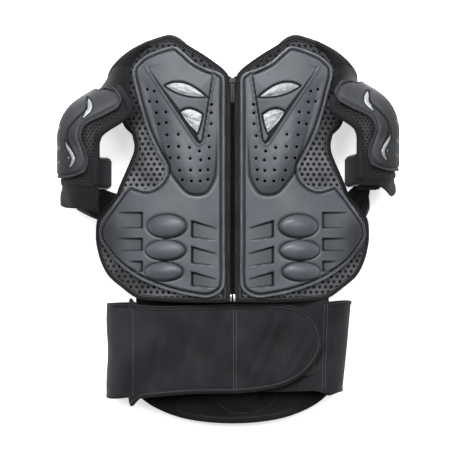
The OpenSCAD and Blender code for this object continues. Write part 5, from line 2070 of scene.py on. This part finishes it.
    def trim(self) -> Object:
        """Set the silver crescents and the small bright eyelets into the shell."""
        pieces = []
        for n, outline in enumerate((self.upper_crescent, self.lower_crescent)):
            edge = spline(outline, 0.8, True)
            if np.sum(edge[:, 0] * np.roll(edge[:, 1], -1) - np.roll(edge[:, 0], -1) * edge[:, 1]) < 0:
                edge = edge[::-1]
            piece = Bench.relief(
                f"crescent{n}", edge, 0.6,
                lambda x, y, e: self.top(x, y, 41.0) + 0.2 + 0.7 * ease(0, 1.8, e) + 0.12 * ripple(x, y, 6, 1.0),
            )
            Bench.thicken(piece, 0.8)
            pieces.append(Bench.smooth(piece, 60))
        spots = np.array([(38.3, 11), (38.6, -14), (38.6, -32), (24.6, -27)])
        tall = self.top(spots[:, 0], spots[:, 1], 41.0)
        turns = []
        for x, z in zip(spots[:, 0], tall):
            out = np.array([x, 0, z]) / math.hypot(x, z)
            side = np.cross([0, 1, 0], out)
            turns.append(np.column_stack([side, [0, 1, 0], out]))
        places = np.column_stack([spots, tall]) - np.array([t[:, 2] for t in turns]) * 0.6
        pieces.append(Bench.copies("eyelets", Bench.bead(3.4, 1.0, 12), places, np.array(turns)))
        return Bench.join(f"arm_silver_trim_{self.word}", pieces)

    def pad(self) -> Object:
        """Build the padded sleeve under the shell."""
        far = 54.0 if self.side > 0 else 64.0

        def extra(x: np.ndarray, y: np.ndarray, angle: np.ndarray, e: np.ndarray) -> np.ndarray:
            """Swell between the binding and the shell."""
            return 0.5 * ripple(x, y, 34, 0.4 * self.side) - 0.9 * hump(9.6, 1.6, e) - 0.6

        return self.wrap(
            f"arm_pad_cover_{self.word}", self.pad_edge, 37.4, 5.2,
            lambda w: -64 + 2.5 * np.sin(4 * w), lambda w: far - 7 * np.clip(
                (w - 0.7) / 0.3, 0, 1
            ) ** 2 - 5 * np.clip((0.3 - w) / 0.3, 0, 1) ** 2,
            (64, 66), True, extra)

    def rim(self) -> Object:
        """Bind the pad's open edges."""
        along, path, normal = self.samples()
        low, high = self.reach(self.pad_edge, 37.4, True)
        far = 54.0 if self.side > 0 else 64.0
        runs = []
        size = lambda s: self.girth(s, 37.4) - 2.6
        spots = [(s, 1.0) for s in np.linspace(-61.5, far - 8.5, 60)]
        spots += [(
            far - 1.5 - 7 * max(0, (w - 0.7) / 0.3) ** 2 - 5 * max(0, (0.3 - w) / 0.3) ** 2, w
        ) for w in np.linspace(0.97, 0.03, 34)]
        for s, w in spots:
            a, b = np.interp(s, along, low), np.interp(s, along, high)
            angle = a + (b - a) * w + (-0.07 if w == 1.0 else 0)
            c = np.array([np.interp(s, along, path[:, k]) for k in (0, 1)])
            n = np.array([np.interp(s, along, normal[:, k]) for k in (0, 1)])
            n /= np.linalg.norm(n)
            out = np.array([*(n * math.cos(angle)), math.sin(angle)])
            runs.append(np.concatenate([[*c, 0] + out * size(s), out]))
        runs = np.array(runs)
        for _ in range(4):
            runs[1:-1] = (runs[:-2] + 2 * runs[1:-1] + runs[2:]) / 4
        obj = Bench.sweep(f"arm_pad_binding_{self.word}", runs[:, :3], runs[:, 3:], ellipse(9.5, 6.6, 12, 0.55), False)
        return Bench.smooth(obj, 60)

    def sleeve(self) -> Object:
        """Let the knit sleeve hang out below the pad."""
        def low(w: np.ndarray) -> np.ndarray:
            """Return where the sleeve's lower hem is."""
            if self.side > 0:
                return -70.5 - 14 * np.exp(-(((w - 0.60) / 0.13) ** 2)) - 4 * ease(0.4, 0.0, w)
            return -87 - 8 * ease(0.5, 1.0, w) - 1.5 * np.sin(13 * w)

        return self.wrap(
            f"arm_sleeve_{self.word}", self.pad_edge, 35.6, 2.0, low, lambda w: -52 + 0 * w, (60, 30), True,
            lambda x, y, angle, e: 1.1 * np.sin(angle * 7 + y * 0.07) * ease(-62, -76, y) + 1.0 * ease(-66, -70, y))

    def loop(
        self, name: str, centre: Point, radius: float, y: tuple[float, float], start: float, end: float, thick: float,
        lean: float
    ) -> Object:
        """Bend a strap round the arm's inner side.

        Args:
            name: The strap's name.
            centre: The loop's centre, as x and z about the elbow.
            radius: Its radius.
            y: Its lower and upper edge.
            start: Angle that it starts at, in degrees; 90 is the top and 180 the inner side.
            end: Angle that it ends at.
            thick: Thickness of the strap.
            lean: How far its inner side leans down, in degrees.

        Returns:
            The strap.
        """
        turn = np.radians(np.linspace(start, end, 44))
        out = np.column_stack([np.cos(turn), np.zeros(44), np.sin(turn)])
        middle = (y[0] + y[1]) / 2
        path = np.column_stack([
            centre[0] + radius * out[:, 0] * 1.06, np.full(44, middle), centre[1] + radius * out[:, 2]
        ])
        path[:, 1] += np.tan(math.radians(lean)) * (path[:, 0] - centre[0])
        obj = Bench.sweep(name, path, out, ellipse(y[1] - y[0], thick, 16, 0.22), False)
        return Bench.smooth(obj, 50)

    def build(self) -> None:
        """Build the guard and hang it on its arm's body."""
        key, body = ("l" if self.side > 0 else "r"), f"arm_{self.word}"
        lean = 13.0 if self.side > 0 else 0.0
        pad, rim, sleeve = self.pad(), self.rim(), self.sleeve()
        Bench.shade(pad, self.pad_recess)
        strap = self.loop(f"arm_strap_band_{self.word}", (7, 0), 29.5, self.strap_y, 86, 274, 1.9, lean)
        lining = self.loop(
            f"arm_strap_lining_{self.word}", (7, 0), 28.0, (self.strap_y[0] - 1.6, self.strap_y[1] + 1.6), 96, 264,
            0.9, lean
        )
        tab = self.loop(
            f"arm_strap_tab_{self.word}", (7, 0), 31.2, (self.strap_y[0] + 2, self.strap_y[1] - 2), 128, 206, 1.5,
            lean
        )
        cuff = self.loop(f"arm_cuff_band_{self.word}", (13, -1), 21.5, (-75, -55), 84, 276, 1.9, 0)
        cuff_tab = self.loop(f"arm_cuff_tab_{self.word}", (13, -1), 23.2, (-73, -57), 140, 215, 1.4, 0)
        for piece, finish, slot, node in (
            (self.shell(), Finishes.CAP, "moulded_shell", "arm_shell"),
            (self.trim(), Finishes.SILVER, "silver_insert", "arm_inserts"),
            (pad, Finishes.PERFORATED, "sleeve_fabric", "arm_pad"), (rim, Finishes.BINDING, "binding_tape", None),
            (sleeve, Finishes.SLEEVE, "sleeve_fabric", None), (strap, Finishes.ELASTIC, "elastic", "arm_strap"),
            (lining, Finishes.PALE, "elastic", None), (tab, Finishes.BELT, "hook_and_loop", "strap_tab"),
            (cuff, Finishes.ELASTIC, "elastic", "cuff_strap"), (cuff_tab, Finishes.BELT, "hook_and_loop", "cuff_tab"),
        ):
            self.home(piece)
            self.finishes.dress(piece, finish, slot)
            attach(piece, body)
            if node:
                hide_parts(f"{node}_{key}")
        for piece, held in (
            (sleeve, "hung"), (strap, "stretched"), (tab, "folded"), (cuff, "stretched"), (cuff_tab, "folded")
        ):
            cloth(piece, held)
        self.side_web(body)
        LOG.info("arm guard %s built", self.word)

    def side_web(self, body: str) -> None:
        """Join the sleeve to the vest's side with soft black fabric."""
        if self.side > 0:
            near = [(146, 47, 26), (152, 36, 25), (160, 25, 24), (167, 13, 22)]
            far = [(160, 62, 46), (173, 56, 40), (172.5, 42, 34), (174, 27, 24)]
        else:
            near = [(146, 45, 26), (152, 36, 25), (162, 24, 24), (169, 12, 22)]
            far = [(170, 53, 50), (180, 42, 40), (190, 30, 30), (198, 26, 18)]
        rows = 24
        at = np.linspace(0, 1, rows)
        a, b = (spline(c, 1.5, False) for c in (near, far))
        a, b = (np.column_stack([np.interp(at * (len(c) - 1), np.arange(len(c)), c[:, k]) for k in range(3)]) for c in (
            a, b
        ))

        def shape(u: np.ndarray, v: np.ndarray) -> np.ndarray:
            """Hang between the two edges, in folds."""
            i = np.rint(v * (rows - 1)).astype(int)
            p = a[i] + (b[i] - a[i]) * u[:, None]
            sag = np.sin(np.pi * u)
            p[:, 2] += sag * 2.6 * np.sin(15 * v + 3 * u) + 1.5 * np.sin(np.pi * v) * sag
            p[:, 1] -= sag * 2.0 * np.sin(9 * v)
            return p

        obj = Bench.surface(f"side_web_{self.word}", 22, rows - 1, shape, (28, 48))
        Bench.outwards(obj)
        Bench.thicken(obj, 1.8, 0)
        Bench.smooth(obj, 60)
        self.frame.settle(obj, self.side)
        self.finishes.dress(obj, Finishes.SLEEVE, "sleeve_fabric")
        reach = 6 if self.side > 0 else 22
        self.frame.spot(self.side * 152, 30, 25)
        self.frame.spot(self.side * (164 + reach), 40, 34)
        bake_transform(obj)
        cloth(obj, "stretched")


@dataclass
class Arms:
    """Both arm guards, as they happen to lie."""

    frame: Frame
    finishes: Finishes

    def build(self) -> None:
        """Build the left guard, then the right one, which lies a little further out and lower."""
        ArmGuard(self.frame, self.finishes, 1, (168.0, 125.0)).build()
        ArmGuard(self.frame, self.finishes, -1, (179.0, 116.0)).build()


# ---------------------------------------------------------------- the whole vest


def main() -> None:
    """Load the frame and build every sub-assembly."""
    logging.basicConfig(level=logging.INFO, format="%(name)s: %(message)s")
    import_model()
    bpy.ops.object.select_all(action="DESELECT")
    finishes = Finishes()
    frame = Frame.from_model()
    Studio(frame, finishes).build()
    for part in SUBASSEMBLIES:
        part(frame, finishes).build()
        LOG.info("%s is built", part.__name__)


SUBASSEMBLIES = (Front, Zip, Back, Shoulders, Belt, Arms)

if __name__ == "__main__":
    main()
